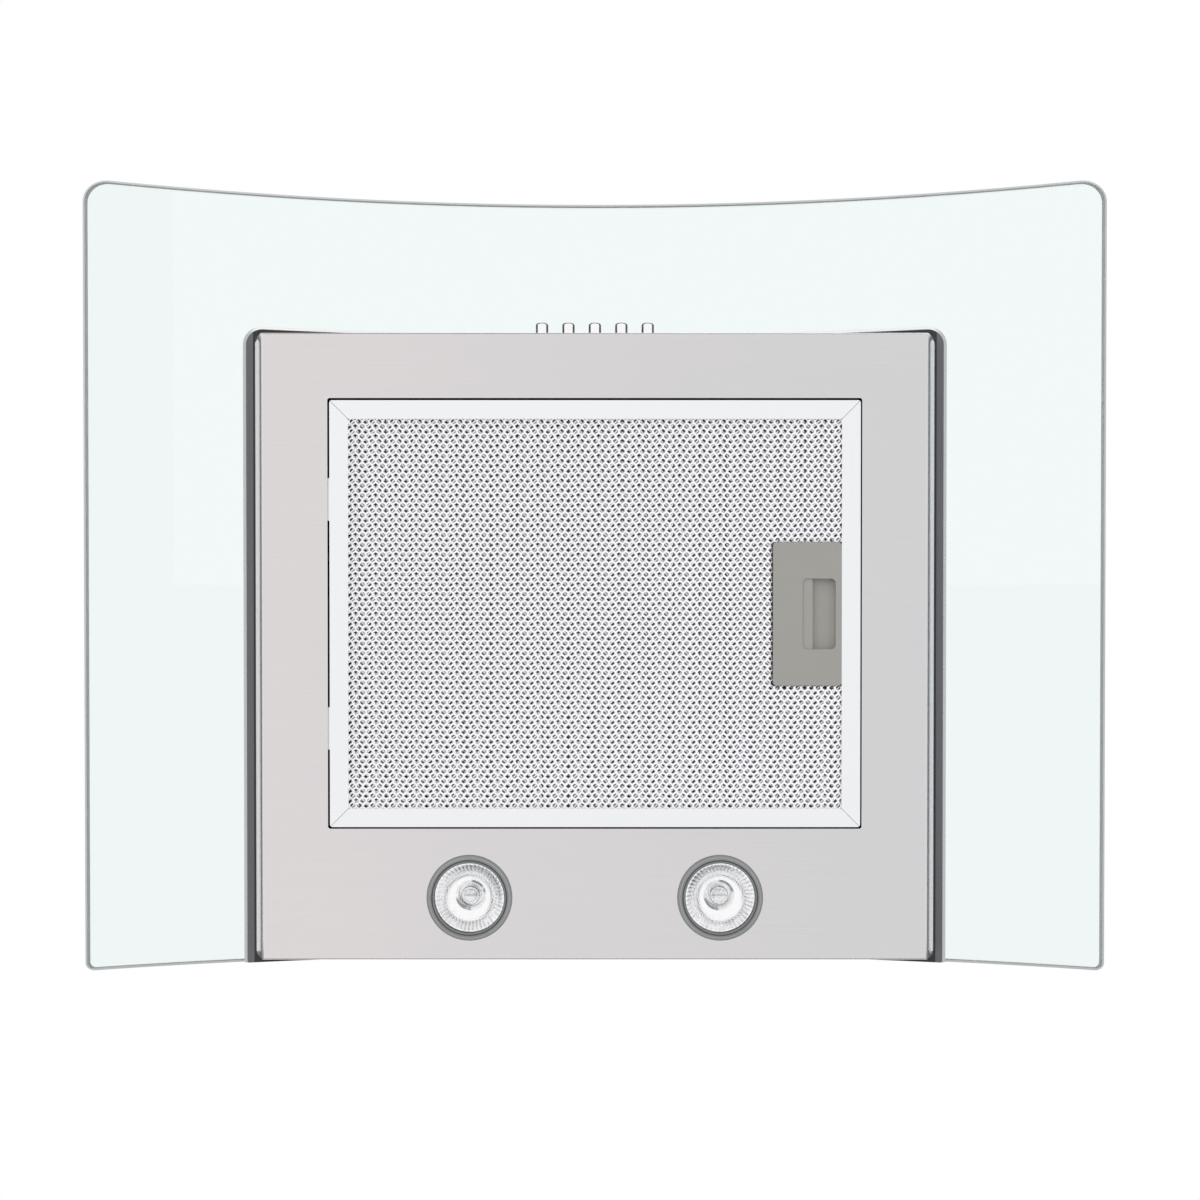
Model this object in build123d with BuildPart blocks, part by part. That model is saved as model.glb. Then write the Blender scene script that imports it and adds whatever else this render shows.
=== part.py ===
"""Wall-mounted range hood: a bent glass canopy on a steel tray, with a hinged grease filter, two lamps,
five push buttons, a centrifugal fan in a steel case, and a telescopic chimney over the duct.

The wall is the plane y = 0 and the hood stands out from it towards -Y. The origin lies midway between
the two wall screws. Heights in the comments are counted from the tray's underside, and level() turns
such a height into the z of the model. All sizes are in millimetres.
"""

from build123d import *
import os
from math import asin, atan2, cos, degrees, pi, radians, sin, sqrt

os.makedirs("parts", exist_ok=True)

# Clearances and seats
over = 2.0  # overrun of every cutting solid
seat = 0.02  # gap between two seated faces that are curved
sit = 0.05  # gap under a flat washer or nut on the arched sheets
play = 0.3  # gap round a loosely fitted piece
run = 0.05  # radial clearance of a shaft or pin in its bearing

# Where the hood hangs
screw_height = 215.0  # wall screws above the tray's underside
screw_spacing = 160.0
screw_hole_r = 4.0

# Glass canopy, arched from side to side
glass_width = 600.0
glass_depth = 465.5
glass_thick = 5.0
glass_radius = 850.0  # underside of the arch
glass_rise = 50.0  # underside of the glass above the tray's underside, at the middle
glass_front_r = 14.0
glass_rear_r = 5.0
glass_edge = 1.5  # ground edge
notch_corner_r = 12.0
glass_hole_r = 4.0

# Arched top plate under the glass, with its seal
plate_thick = 1.0
plate_width = 420.0
plate_depth = 382.6
plate_corner_r = 9.7
seal_thick = 1.5
seal_reach = 2.0  # seal showing outside the top plate
seal_band = 12.0
seal_gap = 0.3  # seal's top under the glass
air_side = 4.0  # air opening's sides inside the case's flange
air_front_side = 9.0
air_rear_side = 2.0
air_corner_r = 6.0

# Tray
sheet = 0.8
tray_width = 392.0
tray_front = 376.0
tray_rear = 5.7
tray_flare = 9.3  # how far each side wall leans out
tray_bend_r = 2.2
lip_height = 9.5  # upturned lip round the filter opening

# Filter opening and filter
opening_width = 315.0
opening_front = 337.4
opening_rear = 83.5
opening_corner_r = 1.5
gap_left = 1.15
gap_right = 0.85
gap_front = 1.3
gap_rear = 1.0
rail_face = 11.0
rail_thick = 9.0
rail_wall = 0.8
rail_corner_r = 1.5
hook_length = 25.0
hook_reach = 5.6
hook_thick = 0.6
hook_height = 1.4
hook_offset = 67.6  # each hook from the middle of the left rail
hook_slot_top = 6.0
mesh_thick = 0.9
mesh_columns = 16
mesh_rows = 13
mesh_strand = 3.2
core_sheet = 0.6
core_folds = 40

# Filter latch
latch_left = 105.2
latch_length = 84.6
latch_face = 0.8
latch_inset = 0.3
latch_back = 1.0
latch_corner_r = 2.0
latch_wall = 2.6
window_left = 122.6
window_right = 142.2
window_length = 41.8
window_corner_r = 3.0
tab_width = 6.0
slider_tail = 1.6  # slider standing back past the window's left edge
slider_head = 1.2
finger_depth = 4.0
tongue_width = 18.0
tongue_thick = 2.4
slider_side = 1.2
latch_fit = 0.15
tongue_gap = 0.35  # tongue's tip to the tray's lip
spring_strip = 0.5
spring_width = 5.0
spring_height = 2.6
spring_bends = 4

# Lamps
lamp_x = 74.05
lamp_y = 42.7
lamp_hole_r = 22.0
lamp_ring_r = 25.3
lamp_ring_drop = 2.0
lamp_ring_wall = 0.65
lamp_ring_bevel = 0.5
lamp_fit = 0.1  # lamp's body inside its hole
lamp_body_height = 14.0
lamp_lip_r = 20.5
lamp_lip_thick = 0.8
lamp_glass_thick = 2.0
reflector_wall = 0.8
reflector_neck_r = 9.8
reflector_height = 17.0
bowl_share = 0.83  # where the reflector's curve passes, of its mouth
bowl_height_share = 0.55  # and of its height
bulb_r = 5.6
bulb_height = 13.0
bulb_pinch = 4.0
bulb_pin = 4.0
bulb_tip_share = 0.8
pinch_share = 0.8
socket_r = 9.0
socket_height = 12.0
socket_flange = 2.0
clip_width = 8.0
clip_reach = 7.0
clip_thick = 0.8
clip_height = 9.0

# Push buttons and their switch block
button_count = 5
button_pitch = 16.0
button_r = 3.8
button_height = 27.0  # axis above the tray's underside
button_proud = 10.8
button_travel = 3.0
button_tip_r = 1.3
button_inside = 6.0
button_stem_r = 2.4
button_stem = 15.0
button_hole_r = 4.2
stem_bore_r = 2.7
switch_width = 88.0
switch_depth = 27.0
switch_low = 16.0
switch_high = 38.0
switch_edge = 1.2
switch_bore = 10.0
ear_reach = 10.0
ear_thick = 3.0
stud_r = 2.0
stud_length = 9.0
nut_flats = 7.0
nut_thick = 3.2

# Glass screws
glass_screw_x = 165.0
glass_screw_front = 330.0
glass_screw_rear = 60.0
glass_screw_r = 2.5
glass_head_r = 8.0
glass_head = 2.6
glass_head_edge = 1.0
bush_flange_r = 9.0
bush_flange = 1.2
bush_bore_r = 2.7
glass_nut_flats = 8.0
glass_nut_thick = 4.0
glass_screw_tail = 1.5

# Motor case
case_play = 10.0  # case's sides inside the lower sleeve
case_front_play = 16.0  # case's front behind the sleeve's
case_top = 241.0
case_wall = 1.0
case_flange = 13.0
case_screw_inset = 6.5
case_screw_front = 150.0
case_screw_rear = 50.0
tap_r = 1.9
tap_head_r = 3.6
tap_head = 2.2
tap_length = 7.0
notch_play = 4.0

# Duct collar and damper
collar_r = 75.0
collar_offset = 2.5  # collar's axis in front of the case's middle
collar_wall = 1.5
collar_height = 54.0
collar_flange_r = 84.0
collar_flange = 1.6
collar_screw_r = 79.5
roof_hole_r = 74.0
damper_height = 22.0  # pin above the roof
damper_pin_r = 1.5
knuckle_r = 2.6
flap_thick = 1.2
flap_drop = 1.6  # flap's upper face below the pin's axis
flap_edge = 3.0  # flap's straight edge from the pin's axis
flap_play = 0.7  # flap's rim inside the collar
ledge_width = 4.5
ledge_thick = 1.5
ledge_gap = 0.1
knuckle_gap = 0.4

# Scroll housing
scroll_side = 5.2  # gap to the case's left side
scroll_lift = 5.2  # gap over the top plate
scroll_front_share = 30 / 41  # of the case's depth
scroll_rear = 72.0
scroll_wall = 1.8
scroll_share = 35 / 114  # radius of the volute's first quarter, of the case's width
scroll_step_share = 2 / 57  # growth of that radius each quarter turn
scroll_rim = 2.0
scroll_rim_thick = 1.6
inlet_step = 14.0  # inlet's rim inside the impeller's
inlet_lip = 3.0
motor_hole_r = 20.0

# Inlet grille
grille_rim = 6.0
grille_thick = 2.2
grille_bar = 2.0
grille_rings = 3
grille_spokes = 6

# Impeller
impeller_gap = 10.0  # to the volute's first quarter
blade_count = 36
blade_depth = 9.5
blade_thick = 0.9
blade_lean = 4.0  # tip standing forward of the blade's root
blade_bow = 1.1
blade_gap = 5.5  # blades' front ends behind the scroll's face
disc_rear = 78.0
disc_thick = 1.5
ring_thick = 1.6
ring_inset = 1.5
hub_r = 10.0
hub_length = 30.0
hub_flare = 5.0

# Motor
motor_r = 42.0
motor_front = 67.0
motor_rear = 27.0
motor_edge = 4.0
motor_boss_r = 14.0
motor_boss = 7.0
motor_groove = 1.2
motor_groove_width = 14.0
shaft_r = 3.0
shaft_front = 114.5
shaft_rear = 31.0
shaft_edge = 0.6
shaft_nut = 4.0
shaft_nut_flats = 10.0
foot_count = 3
foot_ring_r = 50.0
foot_r = 8.0
foot_thick = 1.8
foot_place = 65.0  # foot's front face from the wall
bush_r = 7.0
bush_neck_r = 4.4
bush_side = 2.4
boss_r = 6.5
motor_screw_r = 2.0
motor_screw_head_r = 4.0
motor_screw_head = 2.4

# Capacitor, lamp transformer, terminal box and cable gland
capacitor_r = 15.0
capacitor_gap = 3.0  # to the case's side
capacitor_y = 60.0
capacitor_low = 100.0
capacitor_length = 52.0
capacitor_edge = 2.0
tab_thick = 0.8
tab_wide = 6.0
tab_high = 7.0
clamp_wall = 1.2
clamp_height = 12.0
core_width = 34.0
core_length = 56.0
core_height = 40.0
core_gap = 16.0  # to the case's front
core_low = 80.0
coil_bulge = 7.0
coil_length = 30.0
coil_height = 26.0
coil_edge = 2.5
box_side = 2.0  # inside the case's side
box_width_share = 11 / 57  # of the case's width
box_depth_share = 36 / 205  # of the case's depth
box_rear = 5.0
box_height = 26.0
box_edge = 2.0
gland_r = 9.0
gland_stub_r = 6.0
gland_stub = 6.0
gland_body = 6.0
gland_cap_r = 7.5
gland_cap = 9.0
gland_bore_r = 3.5
gland_edge = 2.0

# Chimney
chimney_width = 250.0
chimney_depth = 222.0
chimney_wall = 1.0
chimney_top = 346.0
chimney_corner_r = 1.5
chimney_lip = 8.0  # inward rear flange
upper_length = 300.0
upper_top = 496.0
upper_wall = 0.8
upper_gap = 0.6  # between the two sleeves
vent_count = 8
vent_pitch = 9.0
vent_height = 3.5
vent_length = 60.0
vent_drop = 62.0  # highest vent below the upper sleeve's top
bracket_height = 24.0
bracket_thick = 1.5
bracket_arm = 34.0
bracket_drop = 4.0
bracket_hole_r = 3.0
bracket_spacing = 120.0
bracket_screw_y = 20.0


def level(height):
    """z of a height above the tray's underside."""
    return height - screw_height


def arch_height(radius, x):
    """Height of an arched surface of the given radius at a distance x from the middle."""
    return glass_rise - glass_radius + sqrt(radius**2 - x**2)


def on_arch(x, y, rise):
    """Plane square to the arch, over the glass underside's point x, y, and raised by rise."""
    tilt = asin(x / glass_radius)
    radius = glass_radius + rise
    origin = (radius * sin(tilt), y, level(glass_rise - glass_radius) + radius * cos(tilt))
    return Plane(origin=origin, x_dir=(0, 1, 0), z_dir=(sin(tilt), 0, cos(tilt)))


def arched_band(top_radius, thick, half_width, depth):
    """Arched sheet from the wall to a depth, cut straight down at its sides."""
    low_radius = top_radius - thick
    top_end = level(arch_height(top_radius, half_width))
    low_end = level(arch_height(low_radius, half_width))
    top_middle = (0, level(arch_height(top_radius, 0)))
    low_middle = (0, level(arch_height(low_radius, 0)))
    with BuildPart() as band:
        with BuildSketch(Plane.XZ):
            with BuildLine():
                ThreePointArc((-half_width, top_end), top_middle, (half_width, top_end))
                Line((half_width, top_end), (half_width, low_end))
                ThreePointArc((half_width, low_end), low_middle, (-half_width, low_end))
                Line((-half_width, low_end), (-half_width, top_end))
            make_face()
        extrude(amount=depth)
    return band.part


def arched_plate(top_radius, thick, width, depth, front_r, rear_r):
    """Arched sheet with the plan of a rectangle whose front and rear corners are rounded."""
    with BuildPart() as plate:
        with BuildSketch(Plane.XY.offset(level(-glass_rise))) as plan:
            with Locations((0, -depth / 2)):
                Rectangle(width, depth)
            fillet(plan.vertices().sort_by(Axis.Y)[:2], radius=front_r)
            fillet(plan.vertices().sort_by(Axis.Y)[-2:], radius=rear_r)
        extrude(amount=glass_rise * 2 + glass_thick)
        add(arched_band(top_radius, thick, width / 2 + over, depth), mode=Mode.INTERSECT)
    return plate.part


def below_arch(radius, half_width, depth):
    """Solid under an arch, that trims what stands on it."""
    end = level(arch_height(radius, half_width))
    floor = level(-glass_rise)
    with BuildPart() as ground:
        with BuildSketch(Plane.XZ.offset(-over)):
            with BuildLine():
                ThreePointArc((-half_width, end), (0, level(arch_height(radius, 0))), (half_width, end))
                Polyline((half_width, end), (half_width, floor), (-half_width, floor), (-half_width, end))
            make_face()
        extrude(amount=depth + over + over)
    return ground.part


def block(x_low, x_high, y_front, y_rear, low, high):
    """Box between two x, two distances from the wall and two heights."""
    with BuildPart() as box:
        with BuildSketch(Plane.XY.offset(level(low))):
            with Locations(((x_low + x_high) / 2, -(y_front + y_rear) / 2)):
                Rectangle(x_high - x_low, y_front - y_rear)
        extrude(amount=high - low)
    return box.part


def save(piece, name):
    """Label a finished piece and write it."""
    piece.part.label = name
    export_step(piece.part, "parts/" + name + ".step")


# Places that several pieces share
case_width = chimney_width - (chimney_wall + case_play) * 2
case_depth = chimney_depth - chimney_wall - case_front_play
half_case = case_width / 2
case_inside = half_case - case_wall
notch_half = half_case + notch_play
notch_depth = case_depth + notch_play
glass_screws_at = [
    (side * glass_screw_x, -y) for side in (-1, 1) for y in (glass_screw_front, glass_screw_rear)
]
case_screw_x = case_inside - case_screw_inset
case_screws_at = [
    (side * case_screw_x, -y) for side in (-1, 1) for y in (case_screw_front, case_screw_rear)
]
button_places = [(n - (button_count - 1) / 2) * button_pitch for n in range(button_count)]
wall_inside = tray_front - sheet  # inner face of the tray's front wall
air_half = case_inside - case_flange - air_side
air_front = case_depth - case_wall - case_flange - air_front_side
air_rear = case_wall + case_flange + air_rear_side
collar_y = case_depth / 2 + collar_offset
scroll_front = case_depth * scroll_front_share
scroll_r = case_width * scroll_share
scroll_step = case_width * scroll_step_share
scroll_reach = scroll_r + scroll_step / 2 + scroll_wall  # scroll's left side from the fan's axis
fan_x = scroll_side + scroll_reach - case_inside
fan_height = glass_rise + scroll_lift + scroll_rim + scroll_reach + scroll_step
impeller_r = scroll_r - impeller_gap
inlet_r = impeller_r - inlet_step
blade_front = scroll_front - blade_gap
capacitor_x = case_inside - capacitor_gap - capacitor_r
core_y = case_depth - case_wall - core_gap - core_length / 2
box_width = case_width * box_width_share
box_depth = case_depth * box_depth_share
box_x = half_case - box_side - box_width / 2
box_y = box_rear + box_depth / 2
plate_top_r = glass_radius - seal_thick
plate_low_r = plate_top_r - plate_thick

# Tray: one folded sheet, leaning side walls, trimmed to the arch of the top plate
tray_half = tray_width / 2
flare_half = tray_half + tray_flare
flare_height = arch_height(plate_low_r, flare_half)
lean = atan2(tray_flare, flare_height)
inner_half = tray_half - sheet / cos(lean)
with BuildPart() as hood_tray:
    with BuildSketch(Plane.XZ.offset(tray_rear)):
        with BuildLine():
            Polyline(
                (-flare_half, level(flare_height)),
                (-tray_half, level(0)),
                (tray_half, level(0)),
                (flare_half, level(flare_height)),
            )
            ThreePointArc(
                (flare_half, level(flare_height)),
                (0, level(arch_height(plate_low_r, 0))),
                (-flare_half, level(flare_height)),
            )
        make_face()
    extrude(amount=tray_front - tray_rear)
    fillet(hood_tray.faces().sort_by(Axis.Z)[0].edges(), radius=tray_bend_r)
    with BuildPart(mode=Mode.PRIVATE) as hollow:
        with BuildSketch(Plane.XZ.offset(tray_rear + sheet)):
            with BuildLine():
                Polyline(
                    (-inner_half - tray_flare * sheet / flare_height, level(sheet)),
                    (inner_half + tray_flare * sheet / flare_height, level(sheet)),
                    (inner_half + tray_flare, level(flare_height)),
                    (inner_half + tray_flare, level(glass_rise)),
                    (-inner_half - tray_flare, level(glass_rise)),
                    (-inner_half - tray_flare, level(flare_height)),
                    close=True,
                )
            make_face()
        extrude(amount=tray_front - tray_rear - sheet - sheet)
        fillet(hollow.faces().sort_by(Axis.Z)[0].edges(), radius=tray_bend_r - sheet)
    add(hollow.part, mode=Mode.SUBTRACT)
    opening_half = opening_width / 2
    lip_half = opening_half + sheet
    add(block(-lip_half, lip_half, opening_front + sheet, opening_rear - sheet, sheet / 2, lip_height))
    with BuildSketch(Plane.XY.offset(level(-over))):
        with Locations((0, -(opening_front + opening_rear) / 2)):
            RectangleRounded(opening_width, opening_front - opening_rear, opening_corner_r)
    extrude(amount=lip_height + over + over, mode=Mode.SUBTRACT)
    filter_middle = (opening_front - gap_front + opening_rear + gap_rear) / 2
    for offset_y in (-hook_offset, hook_offset):
        slot_half = hook_length / 2 + play
        slot_middle = filter_middle + offset_y
        add(
            block(
                -opening_half - sheet - over,
                -opening_half + over,
                slot_middle + slot_half,
                slot_middle - slot_half,
                sheet,
                hook_slot_top,
            ),
            mode=Mode.SUBTRACT,
        )
    add(
        block(
            opening_half - over,
            opening_half + sheet + over,
            filter_middle + tongue_width / 2 + play,
            filter_middle - tongue_width / 2 - play,
            rail_thick / 2 - tongue_thick / 2 - play,
            rail_thick / 2 + tongue_thick / 2 + play,
        ),
        mode=Mode.SUBTRACT,
    )
    with BuildSketch(Plane.XY.offset(level(-over))):
        with Locations((-lamp_x, -lamp_y), (lamp_x, -lamp_y)):
            Circle(lamp_hole_r)
    extrude(amount=sheet + over + over, mode=Mode.SUBTRACT)
    stud_x = switch_width / 2 + ear_reach / 2
    with BuildSketch(Plane.XZ.offset(wall_inside - stud_length)):
        with Locations((-stud_x, level(button_height)), (stud_x, level(button_height))):
            Circle(stud_r)
    extrude(amount=stud_length + sheet / 2)
    with BuildSketch(Plane.XZ.offset(wall_inside - over)):
        with Locations(*[(x, level(button_height)) for x in button_places]):
            Circle(button_hole_r)
    extrude(amount=sheet + over + over, mode=Mode.SUBTRACT)
save(hood_tray, "hood_tray")

# Top plate: arched sheet that closes the tray and carries the glass and the motor case
with BuildPart() as top_plate:
    add(arched_plate(plate_top_r, plate_thick, plate_width, plate_depth, plate_corner_r, sheet))
    with BuildSketch(Plane.XY.offset(level(0))):
        with Locations((0, -(air_front + air_rear) / 2)):
            RectangleRounded(air_half * 2, air_front - air_rear, air_corner_r)
    extrude(amount=glass_rise, mode=Mode.SUBTRACT)
    with BuildSketch(*[on_arch(x, y, over) for x, y in glass_screws_at]):
        Circle(bush_bore_r)
    extrude(amount=-over - over - seal_thick - plate_thick, mode=Mode.SUBTRACT)
    with BuildSketch(*[on_arch(x, y, over) for x, y in case_screws_at]):
        Circle(tap_r + seat)
    extrude(amount=-over - over - seal_thick - plate_thick, mode=Mode.SUBTRACT)
save(top_plate, "top_plate")

# Notch at the wall, through which the motor case passes the glass and its seal
with BuildPart() as notch:
    with BuildSketch(Plane.XY.offset(level(0))):
        with Locations((0, -(notch_depth - over) / 2)):
            Rectangle(notch_half * 2, notch_depth + over)
    extrude(amount=glass_rise + glass_thick + over)
    fillet(notch.edges().filter_by(Axis.Z).sort_by(Axis.Y)[:2], radius=notch_corner_r)

# Seal between the top plate and the glass, an open band along their edges
with BuildPart() as glass_seal:
    seal_half = plate_width / 2 + seal_reach
    seal_depth = plate_depth + seal_reach
    corner_r = plate_corner_r + seal_reach
    seal_top_r = glass_radius - seal_gap
    add(arched_plate(seal_top_r, seal_thick - seal_gap, seal_half * 2, seal_depth, corner_r, sheet))
    with BuildSketch(Plane.XY.offset(level(0))):
        with Locations((0, -seal_depth / 2)):
            RectangleRounded((seal_half - seal_band) * 2, seal_depth - seal_band * 2, plate_corner_r)
    extrude(amount=glass_rise + over, mode=Mode.SUBTRACT)
    add(notch.part, mode=Mode.SUBTRACT)
save(glass_seal, "glass_seal")

# Glass canopy
with BuildPart() as glass_canopy:
    glass_top_r = glass_radius + glass_thick
    add(arched_plate(glass_top_r, glass_thick, glass_width, glass_depth, glass_front_r, glass_rear_r))
    skins = glass_canopy.faces().sort_by(SortBy.AREA)[-2:]
    chamfer([edge for skin in skins for edge in skin.edges()], length=glass_edge)
    add(notch.part, mode=Mode.SUBTRACT)
    with BuildSketch(*[on_arch(x, y, -over) for x, y in glass_screws_at]):
        Circle(glass_hole_r)
    extrude(amount=glass_thick + over + over, mode=Mode.SUBTRACT)
save(glass_canopy, "glass_canopy")

# Rubber bushes that hold the glass off the steel at its four screws
with BuildPart() as glass_bushes:
    with BuildSketch(*[on_arch(x, y, -seal_thick) for x, y in glass_screws_at]):
        Circle(bush_flange_r)
        Circle(bush_bore_r, mode=Mode.SUBTRACT)
    extrude(amount=seal_thick - sit)
    with BuildSketch(*[on_arch(x, y, -seal_thick) for x, y in glass_screws_at]):
        Circle(glass_hole_r - sit)
        Circle(bush_bore_r, mode=Mode.SUBTRACT)
    extrude(amount=seal_thick + glass_thick + bush_flange)
    with BuildSketch(*[on_arch(x, y, glass_thick) for x, y in glass_screws_at]):
        Circle(bush_flange_r)
        Circle(bush_bore_r, mode=Mode.SUBTRACT)
    extrude(amount=bush_flange)
save(glass_bushes, "glass_bushes")

# Screws with flat polished heads on top of the glass
head_seat = glass_thick + bush_flange
nut_seat = seal_thick + plate_thick + sit
with BuildPart() as glass_screws:
    with BuildSketch(*[on_arch(x, y, head_seat) for x, y in glass_screws_at]):
        Circle(glass_head_r)
    extrude(amount=glass_head)
    rims = glass_screws.edges().filter_by(GeomType.CIRCLE)
    rims = rims.sort_by(lambda rim: rim.center().Z - arch_height(glass_radius, rim.center().X))
    chamfer(rims[-len(glass_screws_at) :], length=glass_head_edge)
    with BuildSketch(*[on_arch(x, y, head_seat) for x, y in glass_screws_at]):
        Circle(glass_screw_r)
    extrude(amount=-head_seat - nut_seat - glass_nut_thick - glass_screw_tail)
save(glass_screws, "glass_screws")

with BuildPart() as glass_nuts:
    with BuildSketch(*[on_arch(x, y, -nut_seat) for x, y in glass_screws_at]):
        RegularPolygon(glass_nut_flats / 2, 6, major_radius=False)
        Circle(glass_screw_r + seat, mode=Mode.SUBTRACT)
    extrude(amount=-glass_nut_thick)
save(glass_nuts, "glass_nuts")

# Motor case: folded steel box on the top plate, open below, with an inward flange
with BuildPart() as motor_case:
    add(block(-half_case, half_case, case_depth, 0, 0, case_top))
    add(
        block(
            -case_inside,
            case_inside,
            case_depth - case_wall,
            case_wall,
            -over,
            case_top - case_wall,
        ),
        mode=Mode.SUBTRACT,
    )
    with BuildPart(mode=Mode.PRIVATE) as flange:
        band_half = half_case - case_wall / 2
        add(arched_band(plate_top_r + case_wall, case_wall, band_half, case_depth - case_wall / 2))
        add(
            block(
                -case_inside + case_flange,
                case_inside - case_flange,
                case_depth - case_wall - case_flange,
                case_wall + case_flange,
                0,
                glass_rise + over,
            ),
            mode=Mode.SUBTRACT,
        )
    add(below_arch(plate_top_r, glass_width / 2, case_depth), mode=Mode.SUBTRACT)
    add(flange.part)
    with BuildSketch(Plane.XY.offset(level(case_top - case_wall - over))):
        with Locations((0, -collar_y)):
            Circle(roof_hole_r)
    extrude(amount=case_wall + over + over, mode=Mode.SUBTRACT)
    with BuildSketch(Plane.XZ.offset(-over)):
        with Locations((-screw_spacing / 2, 0), (screw_spacing / 2, 0)):
            Circle(screw_hole_r)
    extrude(amount=case_wall + over + over, mode=Mode.SUBTRACT)
    with BuildSketch(*[on_arch(x, y, over) for x, y in case_screws_at]):
        Circle(tap_r + seat)
    extrude(amount=-over - over - seal_thick, mode=Mode.SUBTRACT)
    collar_screws_at = [
        (collar_screw_r * cos(angle), collar_screw_r * sin(angle) - collar_y)
        for angle in [radians(45 + 90 * n) for n in range(4)]
    ]
    with BuildSketch(Plane.XY.offset(level(case_top - case_wall - over))):
        with Locations(*collar_screws_at):
            Circle(tap_r + seat)
    extrude(amount=case_wall + over + over, mode=Mode.SUBTRACT)
save(motor_case, "motor_case")

# Tapping screws of the motor case and of the duct collar
tap_seat = -seal_thick + case_wall + sit
with BuildPart() as tapping_screws:
    with BuildSketch(*[on_arch(x, y, tap_seat) for x, y in case_screws_at]):
        Circle(tap_head_r)
    extrude(amount=tap_head)
    with BuildSketch(*[on_arch(x, y, tap_seat) for x, y in case_screws_at]):
        Circle(tap_r)
    extrude(amount=-tap_length)
    with BuildSketch(Plane.XY.offset(level(case_top + collar_flange))):
        with Locations(*collar_screws_at):
            Circle(tap_head_r)
    extrude(amount=tap_head)
    with BuildSketch(Plane.XY.offset(level(case_top + collar_flange))):
        with Locations(*collar_screws_at):
            Circle(tap_r)
    extrude(amount=-tap_length)
save(tapping_screws, "tapping_screws")

# Scroll housing: a volute of three quarter arcs that opens into a straight outlet
scroll_split = (scroll_front + scroll_rear) / 2
outlet_top = case_top - case_wall


def volute(grow):
    """Face of the volute and its outlet, with its wall moved outwards by grow."""
    first = (fan_x - scroll_step / 2, level(fan_height - scroll_step / 2))
    second = (fan_x + scroll_step / 2, level(fan_height - scroll_step / 2))
    third = (fan_x + scroll_step / 2, level(fan_height + scroll_step / 2))
    r_first = scroll_r + grow
    r_second = r_first + scroll_step
    r_third = r_second + scroll_step
    start = degrees(asin(grow / r_first))
    tongue = (first[0] - grow, first[1] + sqrt(r_first**2 - grow**2))
    side = (third[0] + r_third, third[1])
    with BuildSketch(Plane.XZ) as face:
        with BuildLine():
            CenterArc(first, r_first, 90 + start, 90 - start)
            CenterArc(second, r_second, 180, 90)
            CenterArc(third, r_third, 270, 90)
            Polyline(side, (side[0], level(outlet_top)), (tongue[0], level(outlet_top)), tongue)
        make_face()
    return face.sketch


def scroll_half(y_face, y_split, towards):
    """One moulded half: a flat cheek, its wall and a rim at the split. towards is 1 or -1 along +Y."""
    depth = abs(y_face - y_split)
    with BuildPart() as half:
        extrude(volute(scroll_wall).moved(Location((0, -y_face, 0))), amount=depth, dir=(0, towards, 0))
        rim_start = y_split + towards * scroll_rim_thick
        extrude(
            volute(scroll_wall + scroll_rim).moved(Location((0, -rim_start, 0))),
            amount=scroll_rim_thick,
            dir=(0, towards, 0),
        )
        extrude(
            volute(0).moved(Location((0, -y_face + towards * scroll_wall, 0))),
            amount=depth,
            dir=(0, towards, 0),
            mode=Mode.SUBTRACT,
        )
    return half.part


with BuildPart() as scroll_front_half:
    add(scroll_half(scroll_front, scroll_split, 1))
    with BuildSketch(Plane.XZ.offset(scroll_front - scroll_wall)):
        with Locations((fan_x, level(fan_height))):
            Circle(inlet_r + scroll_wall)
    extrude(amount=-inlet_lip)
    with BuildSketch(Plane.XZ.offset(scroll_front + over)):
        with Locations((fan_x, level(fan_height))):
            Circle(inlet_r)
    extrude(amount=-scroll_wall - inlet_lip - over - over, mode=Mode.SUBTRACT)
save(scroll_front_half, "scroll_front_half")

feet_at = [
    (fan_x + foot_ring_r * cos(angle), level(fan_height) + foot_ring_r * sin(angle))
    for angle in [pi / 2 + 2 * pi * n / foot_count for n in range(foot_count)]
]
bush_front = foot_place + bush_side  # bush's seat on the scroll's bosses, from the wall
bush_rear = foot_place - foot_thick - bush_side
with BuildPart() as scroll_rear_half:
    add(scroll_half(scroll_rear, scroll_split, -1))
    with BuildSketch(Plane.XZ.offset(scroll_rear)):
        with Locations(*feet_at):
            Circle(boss_r)
    extrude(amount=-(scroll_rear - bush_front))
    with BuildSketch(Plane.XZ.offset(scroll_rear - over - over)):
        with Locations((fan_x, level(fan_height))):
            Circle(motor_hole_r)
    extrude(amount=scroll_wall + over + over + over, mode=Mode.SUBTRACT)
    with BuildSketch(Plane.XZ.offset(bush_front - over)):
        with Locations(*feet_at):
            Circle(motor_screw_r + seat)
    extrude(amount=scroll_rear - bush_front + over + seat, mode=Mode.SUBTRACT)
save(scroll_rear_half, "scroll_rear_half")

# Finger grille over the fan's inlet
with BuildPart() as inlet_grille:
    with BuildSketch(Plane.XZ.offset(scroll_front)):
        with Locations((fan_x, level(fan_height))):
            Circle(inlet_r + grille_rim)
            Circle(inlet_r, mode=Mode.SUBTRACT)
            ring_step = inlet_r / (grille_rings + 1)
            for n in range(grille_rings):
                Circle(ring_step * (n + 1) + grille_bar / 2)
                Circle(ring_step * (n + 1) - grille_bar / 2, mode=Mode.SUBTRACT)
            for n in range(grille_spokes // 2):
                Rectangle(inlet_r * 2 + grille_bar, grille_bar, rotation=180 * n * 2 / grille_spokes)
    extrude(amount=grille_thick)
save(inlet_grille, "inlet_grille")

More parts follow.
